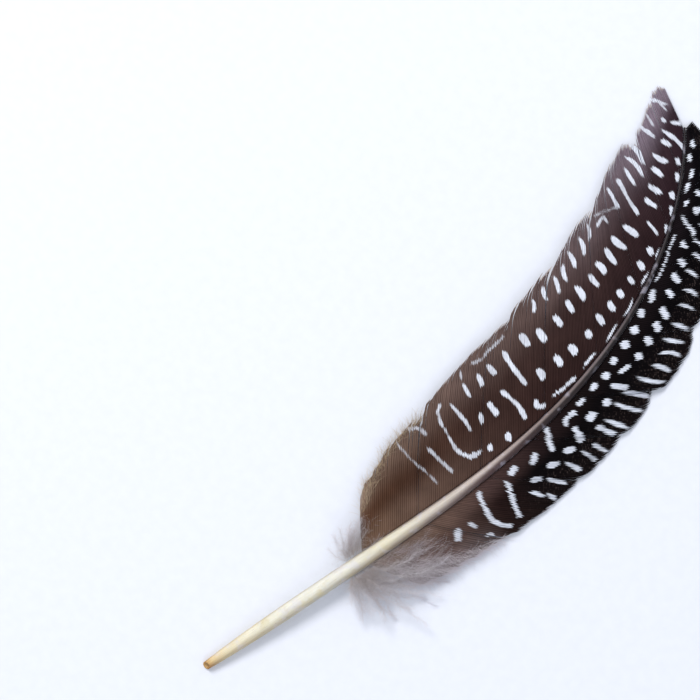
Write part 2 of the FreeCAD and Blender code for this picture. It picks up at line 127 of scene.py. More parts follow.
def height(s):
    rise = POINT_RADIUS + math.tan(math.radians(TILT_DEG)) * np.asarray(s, float)
    return rise - ARCH_DROP * shaft_share(s) ** 2


def width(s):
    share = np.minimum(1.0, shaft_share(s))
    return RACHIS_END_WIDTH + (2 * NECK_RADIUS - RACHIS_END_WIDTH) * (1 - share) ** RACHIS_TAPER


LINE_S = np.arange(0, SHAFT_END + BEYOND + STEP / 2, STEP)
MID_HEADINGS = heading(LINE_S[:-1] + STEP / 2)
LINE_X = np.concatenate([[0], np.cumsum(np.sin(MID_HEADINGS) * STEP)])
LINE_Y = np.concatenate([[0], np.cumsum(np.cos(MID_HEADINGS) * STEP)])


def shaft_point(s):
    s = np.asarray(s, float)
    return np.stack([np.interp(s, LINE_S, LINE_X), np.interp(s, LINE_S, LINE_Y), height(s)], -1)


def shaft_frame(s):
    """Unit vectors along the shaft, level to the leading side, and up."""
    slope = float(height(s + STEP) - height(s - STEP)) / (2 * STEP)
    turn = float(heading(s))
    along = Vector((math.sin(turn), math.cos(turn), slope)).normalized()
    across = Vector((math.cos(turn), -math.sin(turn), 0))
    return tuple(np.array(v) for v in (along, across, across.cross(along)))


MOUNT = [m for m in frame["record"]["mounts"] if m["name"] == "barrel"][0]
MOUNT_PLACE = (BARREL_START + BARREL_END) / 2
SHIFT = np.array(MOUNT["pos_m"]) / MM - shaft_point(MOUNT_PLACE)

# ---- mesh making

def unit(vector):
    return vector / max(1e-9, np.linalg.norm(vector))


def on_path(path, parts, where):
    """Points of a path at the parts of its length given by where."""
    return np.stack([np.interp(where, parts, path[:, a]) for a in range(3)], -1)


def add_object(name, data):
    obj = bpy.data.objects.new(name, data)
    bpy.context.scene.collection.objects.link(obj)
    return obj


class Maker:
    """Collects tubes into one mesh, with values on its points and a tidy UV layout."""

    def __init__(self, *names):
        self.points = []
        self.faces = []
        self.uvs = []
        self.values = {name: [] for name in names}

    def tube(self, rings, values, strip, along, start_tip=None, end_tip=None, tip_values=None):
        """Skin over rings of points. values: per ring (or per ring and column) lists by name.
        strip: (low, high) of the UV map's v. along: u of each ring. Tips close the ends."""
        base = len(self.points)
        columns = len(rings[0])
        low, high = strip
        for ring in rings:
            self.points.extend(ring)
        for name, store in self.values.items():
            for value in values[name]:
                if isinstance(value, (list, tuple, np.ndarray)):
                    store.extend(value)
                else:
                    store.extend([value] * columns)
        v = [low + (high - low) * j / columns for j in range(columns + 1)]
        for i in range(len(rings) - 1):
            a = base + i * columns
            b = a + columns
            for j in range(columns):
                k = (j + 1) % columns
                self.faces.append((a + j, a + k, b + k, b + j))
                self.uvs.extend([(along[i], v[j]), (along[i], v[j + 1]),
                                 (along[i + 1], v[j + 1]), (along[i + 1], v[j])])
        last = base + (len(rings) - 1) * columns
        self.close(base, start_tip, v, along[0], tip_values, True)
        self.close(last, end_tip, v, along[-1], tip_values, False)

    def close(self, a, tip, v, u, tip_values, first):
        """Close the ring whose points begin at a, with triangles up to its tip."""
        if tip is None:
            return
        top = len(self.points)
        self.points.append(tip)
        for name, store in self.values.items():
            store.append(tip_values[name] if tip_values else store[a])
        columns = len(v) - 1
        for j in range(columns):
            ends = [(a + j, v[j]), (a + (j + 1) % columns, v[j + 1])]
            if first:
                ends.reverse()
            self.faces.append((ends[0][0], ends[1][0], top))
            self.uvs.extend([(u, ends[0][1]), (u, ends[1][1]), (u, (v[j] + v[j + 1]) / 2)])

    def piece(self, name, material, body, node):
        mesh = bpy.data.meshes.new(name)
        points = (np.array(self.points) + SHIFT) * MM
        mesh.from_pydata(points.tolist(), [], self.faces)
        layer = mesh.uv_layers.new(name="OFBake")
        layer.data.foreach_set("uv", np.array(self.uvs, dtype=np.float32).ravel())
        for key, store in self.values.items():
            attribute = mesh.attributes.new(key, "FLOAT", "POINT")
            attribute.data.foreach_set("value", np.array(store, dtype=np.float32))
        mesh.polygons.foreach_set("use_smooth", [True] * len(mesh.polygons))
        mesh.update()
        obj = add_object(name, mesh)
        mesh.materials.append(material)
        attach(obj, body)
        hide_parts(node)
        return obj


# ---- materials

def srgb(red, green, blue):
    """An sRGB colour from 0 to 255 as the linear colour that nodes take."""
    out = []
    for c in (red, green, blue):
        c = c / 255
        out.append(c / 12.92 if c <= 0.04045 else ((c + 0.055) / 1.055) ** 2.4)
    return (*out, 1.0)


# Numbers of the Mix node's sockets for a share and two colours, and for the colour it gives
MIX_SHARE, MIX_FIRST, MIX_SECOND, MIX_RESULT = 0, 6, 7, 2


class Nodes:
    """Short calls for a material's nodes."""

    def __init__(self, name, roughness, specular=0.5):
        self.material = bpy.data.materials.new(name)
        self.material.use_nodes = True
        self.tree = self.material.node_tree
        self.shader = self.tree.nodes["Principled BSDF"]
        self.feed(self.shader, {"Roughness": roughness, "Specular IOR Level": specular})

    def feed(self, node, items):
        """Give sockets, by name or number, a constant or another node's output."""
        for key, item in items.items():
            if isinstance(item, (int, float, tuple)):
                node.inputs[key].default_value = item
            else:
                self.tree.links.new(item, node.inputs[key])

    def new(self, kind, items, **settings):
        node = self.tree.nodes.new(kind)
        for key, value in settings.items():
            setattr(node, key, value)
        self.feed(node, items)
        return node

    def value(self, name):
        return self.new("ShaderNodeAttribute", {}, attribute_name=name).outputs["Fac"]

    def math(self, operation, *inputs):
        return self.new("ShaderNodeMath", dict(enumerate(inputs)), operation=operation).outputs[0]

    def times(self, first, second):
        return self.math("MULTIPLY", first, second)

    def range(self, source, low, high, new_low=0.0, new_high=1.0):
        items = {"Value": source, "From Min": low, "From Max": high, "To Min": new_low, "To Max": new_high}
        return self.new("ShaderNodeMapRange", items, interpolation_type="SMOOTHSTEP").outputs[0]

    def ramp(self, source, stops, colour_of=srgb):
        """Colours by a value. Each stop is (value, red, green, blue), in sRGB from 0 to 255."""
        node = self.new("ShaderNodeValToRGB", {"Fac": source})
        elements = node.color_ramp.elements
        while len(elements) < len(stops):
            elements.new(0.5)
        for element, (place, *colour) in zip(elements, stops):
            element.position = place
            element.color = colour_of(*colour)
        return node.outputs["Color"]

    def shade(self, share, colour, source, stops):
        """Multiply a colour by factors. Each stop is (value, factors of red, green and blue)."""
        factors = self.ramp(source, stops, lambda *factors: (*factors, 1.0))
        return self.mix(share, colour, factors, "MULTIPLY")

    def noise(self, scale, detail=3.0, rough=0.5):
        """Noise in the object's own space. scale is in waves per millimetre."""
        place = self.new("ShaderNodeTexCoord", {}).outputs["Object"]
        items = {"Vector": place, "Scale": scale / MM, "Detail": detail, "Roughness": rough}
        return self.new("ShaderNodeTexNoise", items).outputs["Fac"]

    def waves(self, vector, scale, distortion=0.0):
        items = {"Vector": vector, "Scale": scale, "Distortion": distortion}
        return self.new("ShaderNodeTexNoise", items).outputs["Fac"]

    def vector(self, x, y):
        return self.new("ShaderNodeCombineXYZ", {"X": x, "Y": y}).outputs[0]

    def mix(self, share, first, second, mode="MIX"):
        items = {MIX_SHARE: share, MIX_FIRST: first, MIX_SECOND: second}
        return self.new("ShaderNodeMix", items, data_type="RGBA", blend_type=mode).outputs[MIX_RESULT]

    def scatter(self, weight, *radius):
        """Let light through, over radii in millimetres for red, green and blue."""
        self.feed(self.shader, {"Subsurface Weight": weight, "Subsurface Scale": 1.0,
                                "Subsurface Radius": tuple(r * MM for r in radius)})

    def finish(self, colour, bump=None, strength=0.3, distance=0.05):
        self.feed(self.shader, {"Base Color": colour})
        if bump is not None:
            items = {"Strength": strength, "Distance": distance * MM, "Height": bump}
            self.feed(self.shader, {"Normal": self.new("ShaderNodeBump", items).outputs[0]})
        return self.material


WHITE_SPOT = srgb(238, 243, 255)
# Colours of the barbs by share of the shaft: near the shaft, half way out, and at the vane's edge
BARB_COLOURS = {
    "trailing": (
        [(0.26, 108, 85, 69), (0.36, 99, 79, 69), (0.47, 71, 53, 48), (0.56, 50, 34, 32),
         (0.7, 46, 32, 32), (0.88, 42, 28, 32), (1.0, 48, 34, 42)],
        [(0.26, 94, 66, 50), (0.35, 70, 48, 37), (0.5, 60, 43, 39), (0.62, 58, 42, 40), (0.8, 54, 39, 40),
         (1.0, 56, 42, 50)],
        [(0.26, 168, 146, 130), (0.33, 112, 92, 80), (0.5, 100, 83, 78), (0.65, 96, 80, 77),
         (0.87, 100, 87, 92), (1.0, 128, 116, 130)]),
    "leading": (
        [(0.26, 150, 136, 132), (0.31, 124, 106, 96), (0.36, 104, 84, 75), (0.44, 76, 58, 56),
         (0.53, 42, 30, 31), (0.62, 21, 15, 16), (1.0, 24, 19, 24)],
        [(0.26, 146, 132, 128), (0.35, 96, 76, 70), (0.44, 38, 25, 24), (0.5, 12, 9, 11), (1.0, 9, 7, 11)],
        [(0.26, 172, 162, 168), (0.35, 134, 120, 120), (0.43, 40, 28, 26), (0.5, 20, 14, 15),
         (1.0, 13, 10, 13)]),
}
INNER_REACH = {"trailing": (0.1, 0.42), "leading": (0.12, 0.4)}  # where the inner colour goes over
OUTER_REACH = (0.42, 0.88)
BARBULES_PER_MM = 4.2
BARBULE_SLANT = 1.1


def barb_material(side):
    """Barbs by their values: place along the shaft, reach along the barb, ridge across it,
    spot where they are white, tone from barb to barb, and rim at the vane's pale edge."""
    n = Nodes(side + "_barb_keratin", 0.6, 0.025)
    place = n.math("DIVIDE", n.value("place"), SHAFT_END)
    reach, ridge, run = n.value("reach"), n.value("ridge"), n.value("run")
    inner, middle, outer = (n.ramp(place, stops) for stops in BARB_COLOURS[side])
    colour = n.mix(n.range(reach, *INNER_REACH[side]), inner, middle)
    colour = n.mix(n.range(reach, *OUTER_REACH), colour, outer)
    colour = n.shade(0.5, colour, n.noise(0.16, 4.0, 0.6), [(0.3, 0.62, 0.6, 0.6), (0.7, 1.3, 1.27, 1.24)])
    # the barbs' random tone and the ridge's painted light and shade are weaker at the trailing vane's base,
    # which looks smooth
    relief = n.range(n.value("place"), 58.0, 98.0, 0.12, 0.32) if side == "trailing" else 0.32
    colour = n.shade(relief, colour, n.value("tone"), [(0.0, 0.72, 0.7, 0.7), (1.0, 1.3, 1.28, 1.26)])
    # lighter along each barb's ridge and darker at its edges: partly the paler ramus, partly painted light
    # on the ridges and painted shade in the creases between barbs
    colour = n.shade(relief, colour, ridge,
                     [(0.0, 0.6, 0.58, 0.6), (0.75, 1.02, 1.0, 1.0), (1.0, 1.3, 1.24, 1.2)])
    # barbules: fine slanting threads on both sides of each barb
    wave = n.math("SUBTRACT", n.times(run, BARBULES_PER_MM), n.times(ridge, BARBULE_SLANT))
    threads = n.range(n.math("SINE", n.times(wave, 2 * math.pi)), -1, 1)
    colour = n.shade(0.3, colour, threads, [(0.0, 0.7, 0.7, 0.7), (1.0, 1.25, 1.25, 1.25)])
    if side == "leading":
        flecks = n.waves(n.vector(run, n.times(n.value("tone"), 60.0)), 3.4)
        fleck = n.times(n.range(flecks, 0.57, 0.64), n.range(reach, 0.35, 0.7))
        fleck = n.times(fleck, n.range(place, 0.44, 0.54))
        colour = n.mix(n.times(fleck, 0.17), colour, srgb(132, 114, 110))
        rim = srgb(222, 214, 220)
    else:
        rim = n.mix(n.range(place, 0.33, 0.42), srgb(226, 204, 172), srgb(200, 188, 182))
    colour = n.mix(n.value("rim"), colour, rim)
    spot = n.shade(0.5, WHITE_SPOT, threads, [(0.0, 0.88, 0.9, 0.94), (1.0, 1, 1, 1)])
    # painted shade: the white spots are darker and bluer towards the barbs' edges, between the barbs
    spot = n.shade(0.25, spot, ridge, [(0.0, 0.72, 0.72, 0.76), (1.0, 1, 1, 1)])
    dirty = n.range(n.noise(0.5, 2.0), 0.25, 0.75, 0.82, 1.0)
    edge = n.math("ADD", n.value("spot"), n.times(n.math("SUBTRACT", threads, 0.5), 0.09))
    share = n.times(n.range(edge, -0.06, 0.06), n.value("strong"))
    colour = n.mix(n.times(share, dirty), colour, spot)
    return n.finish(colour, threads, 0.35, 0.03)


def down_material():
    """Down by its values: tone from thread to thread, and reach along it, browner at its root."""
    n = Nodes("down_threads", 0.8, 0.2)
    n.feed(n.shader, {"Sheen Weight": 0.3})
    n.scatter(0.5, 2.0, 1.8, 1.7)
    colour = n.ramp(n.value("tone"), [(0.0, 198, 185, 184), (0.5, 224, 215, 218), (1.0, 248, 244, 250)])
    colour = n.shade(1.0, colour, n.value("reach"),
                     [(0.0, 0.84, 0.79, 0.74), (0.5, 1, 1, 1), (1.0, 1.08, 1.08, 1.1)])
    mottle = n.noise(0.8)
    colour = n.shade(0.4, colour, mottle, [(0.3, 0.7, 0.68, 0.66), (0.7, 1.1, 1.1, 1.1)])
    return n.finish(colour, mottle, 0.2, 0.02)


# Colours of the shaft by its share of the length, as lit, and darker with painted shade for its leading
# flank and trailing crease
HORN_PAINTED_LIT = [(0.0, 196, 152, 96), (0.012, 216, 190, 142), (0.04, 228, 216, 186), (0.1, 228, 224, 206),
              (0.2, 226, 224, 213), (0.3, 216, 210, 190), (0.36, 198, 189, 178), (0.45, 184, 172, 167),
              (0.56, 160, 143, 140), (0.66, 138, 123, 126), (0.74, 98, 84, 90), (0.79, 56, 44, 52),
              (0.9, 46, 34, 44), (1.0, 40, 28, 36)]
HORN_PAINTED_SHADE = [(0.0, 160, 116, 66), (0.03, 196, 180, 144), (0.2, 190, 186, 172), (0.27, 172, 158, 136),
             (0.36, 138, 124, 118), (0.45, 84, 64, 64), (0.56, 38, 24, 26), (0.68, 24, 15, 19),
             (1.0, 20, 13, 18)]


def horn_material(name):
    """Horn of the shaft: ivory at the barrel, browning towards the tip, with painted shade on the
    leading flank and in the crease along the trailing edge, and long streaks, mottling and scratches along
    it."""
    n = Nodes(name, 0.5, 0.35)
    n.scatter(0.18, 1.2, 0.9, 0.6)
    run, flank, turn = n.value("place"), n.value("flank"), n.value("turn")
    place = n.math("DIVIDE", run, SHAFT_END)
    painted_shade = n.ramp(place, HORN_PAINTED_SHADE)
    # painted shade: the leading flank is darkened as if lit from the trailing side, and from place 62 to
    # 104 the shade reaches further over the top
    shaded = n.math("ADD", flank, n.range(run, 62.0, 104.0, 0.0, 0.85))
    colour = n.mix(n.range(shaded, -0.25, 0.85), n.ramp(place, HORN_PAINTED_LIT), painted_shade)
    # painted shade in the crease along the trailing edge, where the barbs are rooted
    colour = n.mix(n.range(flank, -0.72, -1.0), colour, painted_shade)
    # streaks: long along the shaft, short around it
    streak = n.waves(n.vector(n.times(run, 0.11), n.times(turn, 11.0)), 1.6, 0.4)
    colour = n.shade(0.5, colour, streak, [(0.3, 0.8, 0.77, 0.72), (0.65, 1.08, 1.08, 1.1)])
    yellow = n.times(n.range(n.noise(0.22, 3.0, 0.6), 0.5, 0.68), n.range(run, 75.0, 20.0))
    colour = n.mix(n.times(yellow, 0.6), colour, srgb(206, 190, 140))
    lilac = n.range(n.noise(0.31, 2.0), 0.55, 0.7)
    colour = n.mix(n.times(lilac, 0.3), colour, srgb(206, 202, 220))
    scratch = n.waves(n.vector(n.times(run, 0.5), n.times(turn, 42.0)), 1.4)
    colour = n.mix(n.times(n.range(scratch, 0.66, 0.72), 0.35), colour, srgb(120, 96, 74))
    return n.finish(colour, scratch, 0.35, 0.03)


def pith_material():
    n = Nodes("pith_foam", 0.85, 0.2)
    foam = n.noise(4.0, 4.0, 0.6)
    colour = n.ramp(foam, [(0.3, 214, 208, 192), (0.7, 242, 239, 230)])
    return n.finish(colour, foam, 0.6, 0.06)


def pulp_material():
    n = Nodes("dried_pulp_skin", 0.6, 0.3)
    crumple = n.noise(1.6, 4.0, 0.65)
    colour = n.ramp(crumple, [(0.25, 96, 52, 24), (0.5, 168, 110, 58), (0.75, 206, 164, 108)])
    return n.finish(colour, crumple, 0.7, 0.1)


# ---- where the white marks are

# A row of marks runs along the vane. Each station of a row is (place along the shaft, distance out
# from it, gap to the next mark, length of a mark, width, lean), where lean is the angle in degrees
# from the shaft's own direction outwards, and values between stations change evenly.
MARK_ROWS = {
    "trailing": [
        [(87, 3.6, 5, 1.9, 1.5, 60), (94, 3.2, 5, 2.1, 1.6, 60)],
        [(118.8, 1.7, 8, 4.4, 0.6, 0), (133, 1, 8, 4.4, 0.5, -1), (151, 0.8, 7, 3, 0.45, -1)],
        [(156, 1.1, 4.1, 2.1, 1.1, 15), (172, 1, 4, 2, 1.1, 20), (179, 1, 4, 1.8, 0.9, 30)],
        [(108.6, 8.3, 5.4, 3.6, 1.9, 72), (114.4, 7.5, 4.7, 2.7, 2, 76), (124, 6, 4.5, 2.6, 2, 60),
         (133, 5, 4.4, 2.6, 1.8, 66), (151, 2.6, 4.1, 2, 1.4, 52)],
        [(116.3, 14.6, 5.6, 3.9, 1.8, 70), (128, 13, 4.4, 3.8, 1.9, 64), (145, 10.9, 4.1, 4.2, 1.5, 62),
         (154, 8.8, 4.3, 3.9, 1.6, 66)],
        [(160.7, 6.3, 4.1, 3.4, 1.4, 66), (172.5, 5.6, 3.7, 3.8, 1.3, 58),
         (177.5, 4.2, 3.7, 2.8, 1.3, 60)],
        [(121.5, 20.6, 4.4, 3.6, 1.1, 45), (130.5, 18.9, 4.2, 5.2, 1, 38),
         (138.6, 18.3, 4.6, 5.2, 1.3, 42), (149, 17.3, 4.8, 5, 1, 30)],
        [(166.6, 12.2, 3.9, 6, 1.1, 36), (175.5, 10.7, 3.9, 6, 1.2, 36)],
    ],
    "leading": [
        [(110.4, 3.4, 4.2, 2.2, 1.5, 0), (118.8, 3.2, 4, 2.2, 1.7, -10),
         (126.4, 2.6, 4.4, 2.3, 1.9, -42), (136, 2.2, 4.5, 2.4, 1.7, -38), (141, 1.8, 4.4, 3, 1.1, -20)],
        [(163, 2.2, 3.6, 2, 1, 10), (178, 1.8, 3.6, 2.2, 0.9, -10)],
        [(109.5, 7.6, 4.4, 2.3, 1.9, -20), (114.2, 7.5, 4.4, 2.3, 2, -30)],
        [(126.9, 7.4, 3.7, 2.2, 1.7, -50), (137.8, 6.7, 4, 2.9, 1.5, -60),
         (153.6, 4.6, 3.9, 2.5, 1.2, -54)],
        [(161.7, 5.3, 4.2, 2, 1, -40), (170, 4.2, 4.2, 1.8, 0.9, -40)],
        [(112.2, 13.3, 3.8, 6.6, 0.9, 66), (120.4, 12.6, 3.9, 6.6, 1, 66),
         (127.4, 13.6, 3.5, 5.8, 0.9, 72), (138, 11.6, 3.6, 4.8, 0.9, 84), (148, 9.2, 3.6, 3.6, 0.8, 98),
         (156, 7.6, 3.6, 3, 0.8, 104), (172, 5.4, 3.6, 2.4, 0.7, 100)],
    ],
}

# Bars and other single marks near the vane's base and at its folds: (points of its middle line as
# (place, distance out), width, strength)
BARS = {
    "trailing": [
        ([(69, 18.6), (69.4, 14), (70.6, 9), (71.2, 5)], 0.6, 0.5),
        ([(73.4, 19.6), (76, 18.2), (76.3, 15.6)], 0.9, 0.65),
        ([(74.6, 13), (75.4, 8), (76, 5)], 0.8, 0.7),
        ([(84, 19.4), (81.8, 18.2), (80.7, 14), (80, 8.6)], 0.85, 0.75),
        ([(80, 8.8), (80.6, 5.4), (84.5, 4.5)], 1.1, 0.95),
        ([(86.1, 17.8), (86.4, 14), (85.8, 10)], 1, 0.9), ([(90.1, 11.6), (89, 9.4)], 1.1, 0.95),
        ([(93.5, 12.2), (93.3, 8.7)], 1.6, 1), ([(98.2, 12.2), (98.8, 8), (97.9, 3.5)], 1.2, 1),
        ([(93.8, 22.4), (92.2, 20.2)], 0.8, 0.7), ([(92, 19.4), (91.2, 16.2)], 1, 0.95),
        ([(96.5, 18.8), (95.6, 16.2)], 1.2, 0.95), ([(100.2, 18.7), (100, 16.2)], 1.7, 1),
        ([(105.9, 18.4), (105, 16)], 1.9, 1), ([(105, 16), (104.5, 13.6), (103.9, 9.2)], 1.2, 1),
        ([(112.4, 18.2), (111.6, 15.2)], 2.1, 1), ([(102.8, 4.9), (101.3, 3.4), (103.6, 2.6)], 1.1, 1),
        ([(106.6, 2.9), (109.4, 2.2), (113.6, 1.8)], 0.8, 1),
        ([(97.5, 21.8), (99.4, 21), (103, 21.2), (109, 21)], 0.7, 0.55),
        ([(156, 5.4), (154.2, 2.4)], 0.8, 1), ([(162, 16.8), (157.6, 13.2)], 1, 1),
        ([(165.4, 15), (161, 11.8), (157.2, 8.2)], 1, 1),
        ([(153, 18), (155.4, 16.4), (157.6, 13.2)], 0.5, 0.6),
        ([(150.4, 16.6), (152.4, 16.5), (153.8, 15.9), (152.4, 14.6)], 0.7, 0.8),
        ([(182, 11), (180.6, 10), (178.6, 7.2)], 1, 1), ([(184.6, 9), (181.4, 7.4)], 0.6, 0.8),
        ([(183.2, 5.5), (182.3, 4.5)], 0.9, 1), ([(180.1, 5.3), (178.4, 2.6), (176.6, 0.6)], 1, 1),
        ([(182.3, 3.2), (182, 1.6), (181.8, 0.4)], 1.1, 1),
        ([(188.6, 8), (188, 6.2), (187.1, 4)], 0.9, 1), ([(187.4, 5.8), (185.4, 4.2)], 0.5, 0.9),
    ],
    "leading": [
        ([(68.9, 6.9), (67.2, 9.2)], 1.5, 0.85), ([(71.8, 7.4), (72.5, 9.2)], 1, 0.8),
        ([(73.4, 12.2), (74.8, 13)], 1, 0.7),
        ([(78, 2.6), (76.9, 5.6), (76.3, 10), (77.2, 12), (79.2, 14.2)], 1.1, 1),
        ([(84.4, 4.6), (84.4, 7), (82.9, 8.4), (82.7, 11), (81.8, 13.8)], 1.2, 1),
        ([(86.4, 4.2), (88.6, 3.5)], 1.8, 1), ([(89.2, 8.6), (91.2, 9.7)], 1.6, 1),
        ([(87.6, 10.9), (88.9, 13.2)], 1.1, 1), ([(90.2, 13.8), (90.6, 15.8)], 0.9, 0.9),
        ([(91.8, 5.6), (93.8, 4.1)], 1.5, 1), ([(94.4, 8.5), (96.4, 9.8)], 1.4, 1),
        ([(92.3, 10.9), (94.6, 14.4)], 1.1, 1), ([(99.8, 1.4), (98.5, 4), (97.4, 6.6)], 1.3, 1),
        ([(99.2, 8.6), (101.2, 9.8)], 1.4, 1), ([(97.8, 11), (99.2, 14.8)], 1.1, 1),
        ([(103.6, 4.4), (105.4, 2.7), (107.4, 3.8)], 1.2, 1), ([(104.7, 6), (103.8, 10)], 1.6, 1),
        ([(102.2, 11.6), (103, 15.6)], 0.9, 0.9), ([(105.2, 12.4), (106, 16)], 1.1, 0.9),
        ([(108.4, 10), (109.8, 14.6)], 1.1, 1), ([(117.6, 6.2), (119.4, 9.4)], 1.3, 1),
        ([(121, 5.7), (123.6, 6.5)], 1.3, 1), ([(143.6, 1.6), (147.6, 1.7), (155, 1.4)], 0.55, 0.95),
        ([(160, 2.1), (158.2, 4), (156.6, 6)], 0.9, 1),
    ],
}
ROUNDNESS = 2.7  # 2 is an ellipse, more is squarer
BOW = 0.2  # how far a mark may bend, as a share of its length
FADE = 0.6  # beyond this distance, in mm, it doesn't matter how far a point is from a mark's edge


def marks(side):
    """All white marks: (place, out, lean, half length, half width, strength, bow)."""
    rng = random.Random(SIDE[side] * 31)
    found = []
    for row in MARK_ROWS[side]:
        s = row[0][0]
        while s <= row[-1][0]:
            columns = ([(station[0], station[k]) for station in row] for k in range(1, 6))
            out, gap, length, wide, lean = (float(at(column, s)) for column in columns)
            found.append((s + rng.uniform(-0.4, 0.4), out + rng.uniform(-0.4, 0.4),
                          math.radians(lean + rng.uniform(-9, 9)), length * rng.uniform(0.82, 1.15) / 2,
                          wide * rng.uniform(0.8, 1.15) / 2, 1.0, length * BOW * rng.uniform(-0.5, 0.5)))
            s += gap * rng.uniform(0.94, 1.06)
    for points, wide, strength in BARS[side]:
        found.extend(bar_marks(rng, points, wide, strength))
    return found


def bar_marks(rng, points, wide, strength):
    """A bar as a chain of short marks along its bent middle line; a weak bar has gaps."""
    points = np.array(points, float)
    run = np.concatenate([[0], np.cumsum(np.hypot(*np.diff(points, axis=0).T))])
    found = []
    start = 0.0
    while start < run[-1] - 0.4:
        end = min(run[-1], start + rng.uniform(1.5, 3.0))
        (a, c), (b, d) = ([np.interp(r, run, points[:, k]) for r in (start, end)] for k in (0, 1))
        aside = rng.uniform(-0.12, 0.12)
        lean, length = math.atan2(d - b, c - a), math.hypot(c - a, d - b)
        found.append(((a + c) / 2 + aside, (b + d) / 2, lean, length * 0.62,
                      wide * rng.uniform(0.75, 1.2) / 2, strength * rng.uniform(0.8, 1.0), 0.0))
        start += (end - start) * (rng.choice((0.85, 0.95, 1.3)) if strength < 0.8 else 0.85)
    return found


def whiteness(side, places, outs):
    """How far inside the nearest white mark each point is, in mm (outside it is negative), and how
    strong that mark is."""
    inside = np.full_like(places, -FADE)
    strong = np.ones_like(places)
    for s, out, lean, long, wide, strength, bow in MARKS[side]:
        near = (np.abs(places - s) < long + 1.5) & (np.abs(outs - out) < long + 1.5)
        if not near.any():
            continue
        a, b = places[near] - s, outs[near] - out
        u = np.abs(a * math.cos(lean) + b * math.sin(lean)) / long
        v = np.abs(b * math.cos(lean) - a * math.sin(lean) - bow * (u ** 2 - 0.4)) / wide
        depth = (1 - (u ** ROUNDNESS + v ** ROUNDNESS) ** (1 / ROUNDNESS)) * wide
        depth = np.clip(depth, -FADE, FADE)
        better = depth > inside[near]
        inside[near] = np.where(better, depth, inside[near])
        strong[near] = np.where(better, strength, strong[near])
    return inside, strong


MARKS = {side: marks(side) for side in SIDE}

# ---- the vanes

# Where a vane has come apart or is worn, by place along the shaft: (how much shorter the barbs
# before it are, and over what length of shaft; the same after it; opening at the edge)
NOTCHES = {
    "trailing": {
        63: (2.9, 3.4, 0.5, 3, 0.6), 82: (0.8, 2, 0.2, 3, 0.3), 88: (2, 3.4, 0.2, 2, 0.1),
        102: (1.8, 3, 3, 4.2, 0.5), 121: (3.2, 5, 4.6, 3.2, 0.6), 139: (0.3, 4, 0.3, 4, 0.15),
        157: (3.2, 4.6, 0.4, 3, 0.8), 170: (1, 2, 0.4, 2.6, 0.5),
    },
    "leading": {
        64: (1.2, 3, 0.4, 2, 0.5), 82: (1.4, 3, 0.3, 2, 0.6), 96: (1.8, 3.4, 0.3, 2, 0.7),
        110: (3, 5.4, 0.4, 2, 0.6), 127: (2, 4, 1.6, 4.5, 0.3), 146: (1, 3, 0.4, 2, 0.3),
        165: (0.8, 3, 0.4, 2, 0.3),
    },
}
# How loose the barbs are, and how pale the vane's rim is, by place
LOOSE = [(47, 1.0), (60, 0.5), (70, 0.15), (165, 0.2), (181, 0.5)]
RIM = {
    "trailing": [(47, 0.9), (60, 0.8), (75, 0.5), (90, 0.7), (100, 0.9), (122, 0.9), (128, 0.4),
                 (134, 0.7), (150, 0.4), (160, 0.6), (181, 0.9)],
    "leading": [(47, 0.8), (60, 0.6), (75, 0.25), (90, 0.08), (181, 0.1)],
}
BARB_SEED = {"trailing": 11, "leading": 23}
PATH_STOPS = 41  # points of a barb's middle line
BARB_FILL = 1.12  # width of a barb over the distance to the next one, so that they overlap
BORDER_FILL = 0.82  # the same for a barb that borders on another section
WIDEST_HALF = 0.42  # half of a barb's width is never more than this
NOTCH_REACH = 2.4  # along s, how far from a split the barbs are drawn aside
LONGER = 0.02  # share by which the barbs are longer, since their swept ends reach less far out
RING_STEP = 0.44  # spacing of a barb's rings
LAST_RING = 0.985  # where a barb's last ring lies, as a share of its length
RIDGE_HEIGHT = 0.03
KEEL_DEPTH = 0.12
END_SWEEP = [(150, 0.8), (176, 0.3)]  # how much of its angle to the shaft a barb has lost at its tip
SWEEP_START = 0.84
SAW = {"trailing": 0.32, "leading": 0.46}  # how far a mark's end slants across a barb
RAGGED = 0.13  # how far it strays from barb to barb
# Corners of a barb's section: (across, over its half width; up, over the ridge's height, or below
# zero over the keel's depth; ridge value)
CORNERS = [(-1.0, 0.0, 0.0), (-0.34, 0.55, 0.7), (0.0, 1.0, 1.0), (0.34, 0.55, 0.7), (1.0, 0.0, 0.0),
           (0.0, -1.0, 0.0)]


def edge_height(side, s, root_z):
    """Height of the vane's edge over the table."""
    if side == "trailing":
        lift = TRAILING_LIFT * (1 - shaft_share(s) ** 4)
    else:
        reach = LEADING_TOUCH - CALAMUS_LENGTH
        lift = LEADING_LIFT * (np.maximum(0.0, LEADING_TOUCH - s) / reach) ** 2
    return VANE_THICKNESS + lift * (root_z - VANE_THICKNESS)


def root_points(side, s):
    """Where the barbs leave the shaft's flank."""
    turn = heading(s)
    across = np.stack([np.cos(turn), -np.sin(turn), np.zeros_like(turn)], -1)
    out = width(s) / 2 + ROOT_GAP
    rise = np.stack([0 * s, 0 * s, ROOT_RISE * width(s) - ROOT_DROP], -1)
    return shaft_point(s) + across * (SIDE[side] * out)[:, None] + rise


